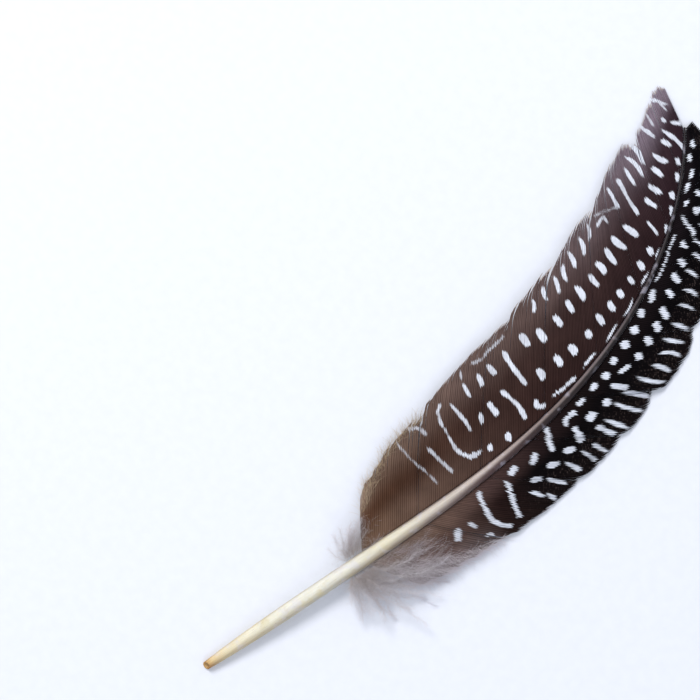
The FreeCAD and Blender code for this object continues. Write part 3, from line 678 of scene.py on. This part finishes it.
def barb_paths(side, s, parts, stretch, bend):
    """Points along the barbs rooted at s, at the parts (0 to 1) of their length."""
    length = at(BARB_LENGTH[side], s) * stretch
    angle = np.radians(at(BARB_ANGLE[side], s))
    root = root_points(side, s)
    edge = edge_height(side, s, root[:, 2])
    step = np.diff(parts)
    middle = (parts[1:] + parts[:-1]) / 2
    ease = at(END_SWEEP, s)[:, None]
    sweep = 1 - ease * np.clip((middle - SWEEP_START) / (1 - SWEEP_START), 0, 1) ** 1.4
    turn = heading(s)[:, None] + SIDE[side] * angle[:, None] * (1 - BARB_CURL * middle) * sweep
    turn = turn + bend[:, None] * middle ** 2
    x = np.cumsum(np.sin(turn) * step * length[:, None], 1)
    y = np.cumsum(np.cos(turn) * step * length[:, None], 1)
    zero = np.zeros((len(s), 1))
    x = np.concatenate([zero, x], 1) + root[:, :1]
    y = np.concatenate([zero, y], 1) + root[:, 1:2]
    fall = CAMBER * parts + (1 - CAMBER) * parts ** 2
    z = root[:, 2:3] - (root[:, 2:3] - edge[:, None]) * fall
    return np.stack([x, y, z], -1), length


def shaft_places(points):
    """Place along the shaft and distance out from it, for points seen from above."""
    x, y = points[..., 0].ravel(), points[..., 1].ravel()
    gap = (x[:, None] - LINE_X[None, ::4]) ** 2 + (y[:, None] - LINE_Y[None, ::4]) ** 2
    nearest = gap.argmin(1) * 4
    places = LINE_S[nearest]
    dx, dy = x - LINE_X[nearest], y - LINE_Y[nearest]
    turn = heading(places)
    forward = dx * np.sin(turn) + dy * np.cos(turn)
    aside = np.abs(dx * np.cos(turn) - dy * np.sin(turn))
    return (places + forward).reshape(points.shape[:-1]), aside.reshape(points.shape[:-1])


def split_wear(side, s):
    """How much shorter the barbs at s are because of the splits and worn places near them."""
    worn = -LONGER * at(BARB_LENGTH[side], s)
    for place, (before, over, after, beyond, _) in NOTCHES[side].items():
        gap = np.abs(place - s)
        up_to, from_there = before * np.exp(-(gap / over) ** 2), after * np.exp(-gap / beyond)
        worn = worn + np.where(s < place, up_to, from_there)
    return worn


def open_notches(side, s, parts, paths):
    """Draw the barbs beside a split aside, more towards their ends."""
    delta = np.gradient(paths, axis=0)
    towards_next = delta / np.maximum(1e-6, np.linalg.norm(delta, axis=-1, keepdims=True))
    for place, (*_, opening) in NOTCHES[side].items():
        sign = np.where(s < place, -1.0, 1.0)
        near = np.exp(-np.abs(s - place) / NOTCH_REACH)
        push = (sign * near * opening / 2)[:, None] * np.clip((parts - 0.45) / 0.55, 0, 1)[None, :] ** 1.6
        paths = paths + towards_next * push[..., None]
    return paths


def make_vane(side, material):
    """All barbs of one vane, a piece for each section between two splits."""
    rng = np.random.default_rng(BARB_SEED[side])
    roots = np.arange(SPLITS[side][0] + BARB_PITCH / 2, SHAFT_END - 0.2, BARB_PITCH)
    count = len(roots)
    parts = np.linspace(0, 1, PATH_STOPS)
    loose = at(LOOSE, roots)
    stretch = 1 - split_wear(side, roots) / at(BARB_LENGTH[side], roots)
    stretch += rng.normal(0, 1, count) * 0.006 * (0.6 + 3 * loose)
    bend = rng.normal(0, 1, count) * 0.035 * loose
    # neighbouring barbs sway together, and the vane ripples more towards its edge
    wave = 0.03 * np.sin(roots * 0.9) + 0.02 * np.sin(roots * 2.3 + 1)
    paths, lengths = barb_paths(side, roots, parts, stretch, bend + wave * loose)
    paths = open_notches(side, roots, parts, paths)
    ripple = 0.12 * np.sin(roots * 0.31 + 0.7)[:, None] * np.sin(parts * 5.0 + roots[:, None] * 0.05)
    paths[..., 2] += ripple * parts[None, :] * 0.8 + rng.normal(0, 0.008, count)[:, None]
    paths[..., 2] = np.maximum(paths[..., 2], KEEL_DEPTH + 0.1)
    tangent = np.gradient(paths, axis=1)
    tangent /= np.maximum(1e-9, np.linalg.norm(tangent, axis=-1, keepdims=True))
    cross = np.gradient(paths, axis=0)
    cross -= tangent * (cross * tangent).sum(-1, keepdims=True)
    tones = rng.random(count)
    for k in range(len(SPLITS[side]) - 1):
        first, last = SPLITS[side][k], SPLITS[side][k + 1]
        mine = np.nonzero((roots >= first) & (roots < last))[0]
        maker = Maker("place", "reach", "run", "ridge", "tone", "spot", "strong", "rim")
        for order, i in enumerate(mine):
            border = order == 0 or order == len(mine) - 1
            add_barb(maker, side, rng, paths[i], cross[i], parts, lengths[i], roots[i], tones[i],
                     BORDER_FILL if border else BARB_FILL, (order / len(mine), (order + 0.9) / len(mine)))
        if k == 0:
            add_fringe(maker, side, roots[mine], parts, paths[mine], lengths[mine])
            add_wisps(maker, side, roots[mine], parts, paths[mine])
        name = "%s_vane_%d" % (side, k + 1)
        maker.piece(name + "_barbs", material, "%s_section_%d" % (side, k + 1), name)


def add_barb(maker, side, rng, path, cross, parts, length, root, tone, fill, strip):
    """One barb: a flattened tube with a raised ridge along its middle, tapering to a point."""
    stops = np.linspace(0, LAST_RING, max(5, int(length / RING_STEP)))
    centres = on_path(path, parts, stops)
    halves = on_path(cross, parts, stops) / 2
    size = np.linalg.norm(halves, axis=-1)
    halves *= (np.minimum(size, WIDEST_HALF) / np.maximum(size, 1e-9))[:, None]
    start_taper = rng.uniform(0.92, 0.965)
    taper = np.clip(1 - (stops - start_taper) / (1 - start_taper) * 0.8, 0.25, 1)
    halves = halves * (fill * taper)[:, None]
    places, outs = shaft_places(np.stack([centres - halves, centres, centres + halves]))
    angle = math.radians(float(at(BARB_ANGLE[side], root)))
    teeth = rng.normal(0, RAGGED) + SAW[side] * np.array([-1.0, 0.0, 1.0])[:, None]
    inside, strong = whiteness(side, places + teeth * math.cos(angle), outs + teeth * math.sin(angle))
    rim_from = rng.uniform(0.945, 0.97)
    rim_strength = float(at(RIM[side], root)) * rng.uniform(0.65, 1.0)
    corners = CORNERS[::int(-SIDE[side])]  # in the order that turns the faces outwards
    rings = []
    for q, centre, half in zip(stops, centres, halves):
        ridge, keel = RIDGE_HEIGHT * (1.15 - 0.35 * q), KEEL_DEPTH * (1 - 0.45 * q)
        rings.append([centre + half * a + np.array([0, 0, u * (ridge if u > 0 else keel)])
                      for a, u, _ in corners])
    spots = [[low * max(0.0, -a) + high * max(0.0, a) + middle * (1 - abs(a)) for a, _, _ in corners]
             for low, middle, high in inside.T]
    values = {"place": places[1], "reach": stops, "run": stops * length, "tone": [tone] * len(stops),
              "ridge": [[r for _, _, r in corners]] * len(stops), "spot": spots, "strong": strong[1],
              "rim": np.where(stops > rim_from, rim_strength, 0.0)}
    tip_values = {"place": places[1, -1], "reach": 1.0, "run": length, "tone": tone, "ridge": 0.5,
                  "spot": inside[1, -1], "strong": strong[1, -1], "rim": rim_strength}
    maker.tube(rings, values, strip, (0.01 + 0.98 * stops).tolist(), sum(rings[0]) / len(corners), path[-1],
               tip_values)


# How much of a barb at the vane's base has come loose into downy threads: (place, share)
LOOSE_SHARE = {
    "trailing": [(47, 0.5), (52, 0.26), (60, 0.12), (63, 0.08)],
    "leading": [(47, 0.9), (52, 0.6), (58, 0.26), (64, 0.1)],
}
FRINGE_PITCH = {"trailing": 0.2, "leading": 0.12}
FRINGE_RIM = {"trailing": 0.15, "leading": 0.8}  # least paleness of these threads
WISPS = {"trailing": 0, "leading": 34}  # number of strands that lie over the base


def strand_values(root, rim):
    """Values, for the barbs' material, of a thread that comes off the barb rooted at root."""
    return {"place": float(root), "run": 0.0, "ridge": 0.8, "spot": -FADE, "strong": 1.0, "rim": rim}


def add_fringe(maker, side, roots, parts, paths, lengths):
    """Downy threads along the outer ends of the base's barbs."""
    rng = random.Random(SIDE[side] * 7)
    for i, root in enumerate(roots):
        share = float(at(LOOSE_SHARE[side], root))
        strip = ((i + 0.92) / len(roots), (i + 0.99) / len(roots))
        for _ in range(int(lengths[i] * share / FRINGE_PITCH[side])):
            q = 1 - share * rng.random()
            start = on_path(paths[i], parts, q)
            along = unit(start - on_path(paths[i], parts, max(0.0, q - 0.03)))
            aside = np.array([-along[1], along[0], 0.0]) * rng.choice((-1, 1))
            direction = along * rng.uniform(0.5, 1.4) + aside * rng.uniform(0.1, 0.9)
            direction = direction + np.array([0, 0, rng.uniform(-0.1, 0.5)])
            length, radius = rng.uniform(1.2, 4.2), rng.uniform(0.018, 0.03)
            curl, tone = rng.uniform(-0.3, 0.3), min(1.0, rng.uniform(0.3, 1.2))
            values = strand_values(root, rng.uniform(FRINGE_RIM[side], 1.0))
            thread(maker, start, direction, length, radius, curl, tone, strip, 7, reach=(0.98, 0.999),
                   extra=values)


def add_wisps(maker, side, roots, parts, paths):
    """Downy strands that lie over the vane's base, more or less along the shaft."""
    rng = random.Random(41)
    strip = (0.0, 0.9)
    for _ in range(WISPS[side]):
        i = rng.randrange(2, 13)
        start = on_path(paths[i], parts, rng.uniform(0.06, 0.8)) + np.array([0, 0, 0.1])
        turn = float(heading(roots[i])) + SIDE[side] * math.radians(rng.uniform(-14, 20))
        values = strand_values(roots[i], rng.uniform(0.5, 0.95))
        tone = rng.random()
        direction = (math.sin(turn), math.cos(turn), rng.uniform(0.05, 0.12))
        length, curl = rng.uniform(4.0, 10.0), rng.uniform(-0.07, 0.07)
        spine = thread(maker, start, direction, length, 0.026, curl, tone, strip, 16, reach=(0.98, 0.99),
                       wave=0.15, extra=values)
        for p, q in zip(spine[1:-1], spine[2:]):
            t = unit(q - p)
            for way in (-1, 1):
                aside = np.array([-t[1], t[0], 0.0]) * way * rng.uniform(0.3, 0.9)
                d = t + aside + np.array([0, 0, rng.uniform(-0.1, 0.3)])
                length, curl = rng.uniform(0.8, 2.4), rng.uniform(-0.4, 0.4)
                thread(maker, p, d, length, 0.015, curl, tone, strip, 4, reach=(0.98, 0.999), extra=values)


# ---- down

THREAD_FLOOR = 0.05  # threads stay above this height
DOWN_RADIUS = 0.036
BARBULE_RADIUS = 0.017
BARBULE_PITCH = 0.17


def thread(maker, start, direction, length, radius, curl, tone, strip, count, sides=3, reach=(0, 1),
           sag=0.0, wave=0.0, extra=None):
    """A thin tapering thread that curls as it goes. Returns its points.

    strip and reach place it in the UV map, and extra holds further values for its material."""
    points = [np.array(start, float)]
    d = unit(np.array(direction, float))
    step = length / (count - 1)
    for k in range(count - 1):
        angle = (curl + wave * math.sin(k * step * 1.3 + tone * 9)) * step
        c, s = math.cos(angle), math.sin(angle)
        d = unit(np.array([d[0] * c - d[1] * s, d[0] * s + d[1] * c, d[2] - sag * step]))
        ahead = points[-1] + d * step
        ahead[2] = max(ahead[2], THREAD_FLOOR)
        points.append(ahead)
    turns = [2 * math.pi * j / sides for j in range(sides)]
    shares = [k / (len(points) - 1) for k in range(len(points) - 1)]
    rings = []
    for share, p, q in zip(shares, points, points[1:]):
        t = unit(q - p)
        a = unit(np.cross(t, (0, 0, 1.0)))
        b = np.cross(a, t)
        r = radius * (1 - 0.6 * share)
        rings.append([p + (a * math.cos(w) + b * math.sin(w)) * r for w in turns])
    values = {name: [value] * len(rings) for name, value in {"tone": tone, **(extra or {})}.items()}
    values["reach"] = [reach[0] + (reach[1] - reach[0]) * share for share in shares]
    u = [0.01 + 0.98 * value for value in values["reach"]]
    maker.tube(rings, values, strip, u, start_tip=points[0], end_tip=points[-1])
    return points


def downy_barb(maker, rng, start, direction, length, curl, strip, fluff, sag):
    """A limp barb with long fine barbules along both sides."""
    tone = rng.uniform(0.1, 1.0)
    count = max(8, int(length / 0.6))
    spine = np.array(thread(maker, start, direction, length, DOWN_RADIUS, curl, tone, strip, count, 4,
                            sag=sag, wave=rng.uniform(0.1, 0.6)))
    run = np.linspace(0, 1, len(spine))
    number = int(length / BARBULE_PITCH)
    for k in range(number):
        share = 0.05 + 0.95 * k / number
        p = on_path(spine, run, share)
        t = on_path(spine, run, min(1, share + 0.04)) - p
        if np.linalg.norm(t) < 1e-6:
            continue
        t = unit(t)
        aside = np.array([-t[1], t[0], 0])
        reach = (share * 0.98, share * 0.98 + 0.012)
        for way in (-1, 1):
            d = t * rng.uniform(0.5, 1.3) + aside * way * rng.uniform(0.4, 1.0)
            d = d + np.array([0, 0, rng.uniform(-0.35, 0.5)])
            size = fluff * (1 - 0.5 * share) * rng.uniform(0.5, 1.2)
            bend, shade = rng.uniform(-0.6, 0.6), min(1, tone + rng.uniform(-0.15, 0.25))
            thread(maker, p, d, size, BARBULE_RADIUS, bend, shade, strip, 4, reach=reach)


# A tuft: (places of its first and last roots, number of barbs, their lengths, their angles to the
# shaft, how far they curl towards the tip, seed)
DOWN_TUFTS = {
    "trailing": ((42.6, 46.4), 22, (5.0, 14.0), (92, 52), 0.04, 5),
    "leading": ((41.0, 46.4), 50, (8.0, 24.0), (114, 44), 0.04, 9),
}
LONG_HAIRS = {"trailing": 0, "leading": 9}  # single hairs that reach out of the down


def make_down(side, material):
    """The down at the vane's base, rooted in the shaft."""
    places, number, lengths, angles, curl, seed = DOWN_TUFTS[side]
    rng = random.Random(seed)
    maker = Maker("tone", "reach")
    for k in range(number):
        share = k / (number - 1)
        s = places[0] + (places[1] - places[0]) * share
        root = root_points(side, np.array([s]))[0]
        root = root + np.array([0, 0, rng.uniform(-0.5, 0.3)])
        angle = math.radians(angles[0] + (angles[1] - angles[0]) * share + rng.uniform(-18, 18))
        turn = float(heading(s)) + SIDE[side] * angle
        length = (lengths[0] + (lengths[1] - lengths[0]) * share) * rng.uniform(0.6, 1.25)
        direction = (math.sin(turn), math.cos(turn), rng.uniform(-0.1, 0.22))
        bend = SIDE[side] * curl + rng.uniform(-0.08, 0.08)
        downy_barb(maker, rng, root, direction, length, bend, (k / number, (k + 0.9) / number), 3.2,
                   rng.uniform(0.012, 0.03))
    for k in range(LONG_HAIRS[side]):
        s = places[1] + rng.uniform(0.0, 8.0)
        root = root_points(side, np.array([s]))[0]
        turn = float(heading(s)) + SIDE[side] * math.radians(rng.uniform(62, 84))
        direction = (math.sin(turn), math.cos(turn), rng.uniform(-0.05, 0.1))
        length, bend = rng.uniform(20.0, 26.0), SIDE[side] * rng.uniform(0.0, 0.03)
        thread(maker, root, direction, length, 0.022, bend, rng.uniform(0.2, 0.8), (0.0, 0.9), 30,
               sag=0.015, wave=0.12)
    name = side + "_down"
    maker.piece(name + "_barbs", material, "shaft", name)


def make_afterfeather(material):
    """Short down on the underside, at the superior umbilicus."""
    rng = random.Random(3)
    maker = Maker("tone", "reach")
    number = 12
    for k in range(number):
        s = CALAMUS_LENGTH + 0.2 + 2.6 * k / number
        along, across, up = shaft_frame(s)
        start = shaft_point(s) - up * (float(width(s)) / 2 - 0.05)
        spread = (k / (number - 1) - 0.5) * 0.9 + rng.uniform(-0.1, 0.1)
        d = along + across * spread - up * rng.uniform(0.02, 0.12)
        downy_barb(maker, rng, start, d, rng.uniform(4.0, 6.5), rng.uniform(-0.05, 0.05),
                   (k / number, (k + 0.9) / number), 1.0, 0.0)
    maker.piece("afterfeather_barbs", material, "shaft", "afterfeather_tuft")


# ---- shaft

COLUMNS = 48
ANGLES = [2 * math.pi * j / COLUMNS for j in range(COLUMNS)]
SHARP_DEG = 50  # horn edges turning by more than this look sharp
GRAIN_HEIGHT = 0.008
LEDGE_HEIGHT = 0.02  # of the ledges where the barbs are rooted, over the shaft's width
TIP_WALL = 0.09  # thickness of the horn where the pith ends
FURROW_SHARE = 0.55  # depth of the furrow over the thickness of the horn


def grain(angle, s):
    """Fine long ridges on horn, as a height between -1 and 1."""
    return (0.5 * math.sin(9 * angle + 0.05 * s) + 0.3 * math.sin(17 * angle - 0.09 * s + 1.3)
            + 0.2 * math.sin(29 * angle + 0.21 * s + 2.1))


def wall_rings(ring, stations, inner, angles=ANGLES, slope=1.0, flank_share=1.0):
    """The rings of one wall of the shaft, with the values of their points."""
    rings = [ring(station, inner, angles) for station in stations]
    # flank runs from -1 on the trailing side to 1 on the leading side; the horn material paints shade by it
    flanks = [math.sin(angle) * flank_share for angle in angles]
    turns = [angle / (2 * math.pi) for angle in angles]
    values = {"place": [float(station) * slope for station in stations],
              "flank": [flanks] * len(rings), "turn": [turns] * len(rings)}
    return rings, values


def barrel_radius(s):
    if s >= BARREL_END:
        share = (s - BARREL_END) / (CALAMUS_LENGTH - BARREL_END)
        return BARREL_RADIUS + (NECK_RADIUS - BARREL_RADIUS) * share
    if s >= BARREL_START:
        return BARREL_RADIUS
    offset = BARREL_RADIUS - POINT_RADIUS
    arc = (BARREL_START ** 2 + offset ** 2) / (2 * offset)
    return BARREL_RADIUS - arc + math.sqrt(arc ** 2 - (BARREL_START - s) ** 2)


def make_calamus(material):
    """The hollow barrel: outer and inner wall, joined at the torn rim of its slanting opening."""
    rng = random.Random(17)
    along, across, up = shaft_frame(0.0)
    slope = math.cos(math.radians(TILT_DEG))
    length = CALAMUS_LENGTH / slope
    foot = shaft_point(0.0)
    ragged = [rng.uniform(-0.09, 0.09) for _ in range(COLUMNS)]
    stations = [0, 0.12, 0.35, 0.8, 1.5, 2.4, 3.6] + [5 + 0.75 * k for k in range(57)] + [length]
    stations = [z for z in stations if z <= length]

    def ring(z, inner, angles):
        wall = RIM_WALL + (BARREL_WALL - RIM_WALL) * min(1.0, z / 3.0)
        fade = max(0.0, 1 - z / 5.0) ** 2  # of the opening's slant
        points = []
        for angle, rag in zip(angles, ragged):
            lift = math.cos(angle)
            cut = OPENING_DEPTH * (1 + POINT_RADIUS * lift) / 3 + rag * 0.7
            reach = z + cut * fade
            relief = GRAIN_HEIGHT * grain(angle, z) * min(1.0, z / 4.0)
            radius = barrel_radius(z * slope) + (-wall if inner else relief)
            aside = radius * math.sin(angle)
            points.append(foot + along * reach + up * (radius * lift) + across * aside)
        return points

    outer, values = wall_rings(ring, stations, False, slope=slope)
    inner, inner_values = wall_rings(ring, stations[::-1], True, slope=slope, flank_share=0.5)
    joined = {name: values[name] + inner_values[name] + values[name][:1] for name in values}
    u = [0.02 + 0.47 * z / length for z in stations]
    u += [0.51 + 0.47 * (1 - z / length) for z in reversed(stations)] + [0.99]
    maker = Maker(*values)
    maker.tube(outer + inner + outer[:1], joined, (0, 0.98), u)
    obj = maker.piece("calamus_horn_barrel", material, "shaft", "calamus_barrel")
    weld(obj)
    obj.data.set_sharp_from_angle(angle=math.radians(SHARP_DEG))


def weld(obj):
    """Join points that lie on each other, so that a tube closed on itself is one closed skin."""
    b = bmesh.new()
    b.from_mesh(obj.data)
    bmesh.ops.remove_doubles(b, verts=b.verts, dist=1e-7)
    bmesh.ops.recalc_face_normals(b, faces=b.faces)
    b.to_mesh(obj.data)
    b.free()


def rachis_ring(s, inner, angles):
    """Points round the cortex at s: domed above, with ledges at the flanks and a furrow below."""
    _, across, up = shaft_frame(float(s))
    centre = shaft_point(s)
    w = float(width(s))
    depth = w * (1 + (DEPTH_RATIO - 1) * min(1.0, float(shaft_share(s)) / 0.14))
    pith_share = (s - CALAMUS_LENGTH) / (PITH_END - CALAMUS_LENGTH)
    wall = BARREL_WALL + (TIP_WALL - BARREL_WALL) * pith_share
    a, u = w / 2, depth / 2
    if inner:
        a, u = a - wall, u - wall
        return [centre + across * (a * math.sin(angle)) + up * (u * math.cos(angle)) for angle in angles]
    ledge_fade = min(1.0, max(0.0, (s - CALAMUS_LENGTH - 1) / 6))
    furrow = FURROW_SHARE * wall * min(1.0, max(0.0, (s - GROOVE_START) / 14)) if s < PITH_END - 6 else 0.0
    points = []
    for angle in angles:
        sine, cosine = math.sin(angle), math.cos(angle)
        relief = GRAIN_HEIGHT * grain(angle, float(s)) * w / (2 * NECK_RADIUS)
        ledge = math.exp(-((abs(sine) - 0.98) / 0.05) ** 2) * LEDGE_HEIGHT * w * ledge_fade
        below = math.pi - abs(angle - math.pi)  # 0 on top, pi below
        dip = furrow * math.exp(-((math.pi - below) / 0.34) ** 2)
        points.append(centre + across * ((a + relief + ledge) * sine) + up * ((u + relief) * cosine + dip))
    return points


def make_rachis(material):
    """The horn cortex, whose inner wall closes round the pith."""
    fine = np.arange(160, SHAFT_END, 0.5)
    stations = np.concatenate([np.arange(CALAMUS_LENGTH, 160, 0.8), fine, [SHAFT_END]])
    inner_stations = [s for s in stations if s <= PITH_END][::2]
    maker = Maker("place", "flank", "turn")
    for inner, picked, angles, strip, nudge in ((False, stations, ANGLES, (0.0, 0.78), 0.0),
                                                (True, inner_stations, ANGLES[::-1], (0.8, 0.98), 0.05)):
        rings, values = wall_rings(rachis_ring, picked, inner, angles)
        u = [0.01 + 0.98 * (float(s) - CALAMUS_LENGTH) / (SHAFT_END - CALAMUS_LENGTH) for s in picked]
        maker.tube(rings, values, strip, u, start_tip=shaft_point(picked[0] + nudge),
                   end_tip=shaft_point(picked[-1]))
    obj = maker.piece("rachis_horn_cortex", material, "shaft", "rachis_cortex")
    obj.data.set_sharp_from_angle(angle=math.radians(SHARP_DEG))


# ---- stage, light and camera

# These are in metres, apart from the millimetres of VIEW_CENTRE and SENSOR.
FLOOR_HALF = 1.5
VIEW_WIDTH = 0.168
VIEW_CENTRE = (-21.285, 80.99)  # in mm from the point of the calamus
VIEW_TURN_DEG = 39.47
CAMERA_HEIGHT = 1.0
SENSOR = 36.0


def make_stage():
    """The pale table top under the quill."""
    mesh = bpy.data.meshes.new("table_top")
    h = FLOOR_HALF
    mesh.from_pydata([(-h, -h, 0), (h, -h, 0), (h, h, 0), (-h, h, 0)], [], [(0, 1, 2, 3)])
    floor = add_object("table_top", mesh)
    n = Nodes("pale_table", 0.7, 0.2)
    grainy = n.noise(0.4, 2.0)
    n.finish(n.ramp(grainy, [(0.3, 229, 233, 244), (0.7, 232, 236, 247)]))
    floor.data.materials.append(n.material)


def area_light(name, place, size, power, colour):
    """A round lamp that shines at the middle of the frame."""
    data = bpy.data.lights.new(name, "AREA")
    data.shape = "DISK"
    data.size = size
    data.energy = power
    data.color = colour
    obj = add_object(name, data)
    obj.location = place
    obj.rotation_euler = (-Vector(place)).to_track_quat("-Z", "Y").to_euler()


def make_light():
    """Soft light from all round, a warm lamp on one side and a weak cool one on the other."""
    world = bpy.data.worlds.new("studio")
    world.use_nodes = True
    background = world.node_tree.nodes["Background"]
    background.inputs["Color"].default_value = (0.92, 0.95, 1.0, 1)
    background.inputs["Strength"].default_value = 0.62
    bpy.context.scene.world = world
    area_light("key", (-0.75, 0.25, 0.9), 0.5, 9.5, (1.0, 0.98, 0.95))
    area_light("fill", (0.6, -0.6, 1.0), 1.0, 2.6, (0.93, 0.96, 1.0))


def make_camera():
    """A long lens straight above the table, so that the view is nearly flat."""
    data = bpy.data.cameras.new("camera")
    data.sensor_width = SENSOR
    data.lens = SENSOR * CAMERA_HEIGHT / VIEW_WIDTH
    obj = add_object("camera", data)
    x, y = (np.array(VIEW_CENTRE) + SHIFT[:2]) * MM
    obj.location = (float(x), float(y), CAMERA_HEIGHT)
    obj.rotation_euler = (0, 0, math.radians(VIEW_TURN_DEG))
    bpy.context.scene.camera = obj


# ---- the whole

def main():
    make_camera()
    make_light()
    make_stage()
    for side in SIDE:
        make_vane(side, barb_material(side))
    down = down_material()
    for side in SIDE:
        make_down(side, down)
    make_afterfeather(down)
    make_calamus(horn_material("barrel_horn"))
    make_rachis(horn_material("shaft_horn"))
    # hidden pieces keep the CAD model's shapes
    for node, material in (("rachis_pith", pith_material()), ("pulp_caps", pulp_material()),
                           ("tip_plug", pulp_material())):
        obj = frame["nodes"][node]
        obj.data.materials.clear()
        obj.data.materials.append(material)
    bpy.context.scene.view_settings.view_transform = "Standard"
    bpy.context.scene.view_settings.look = "None"


main()
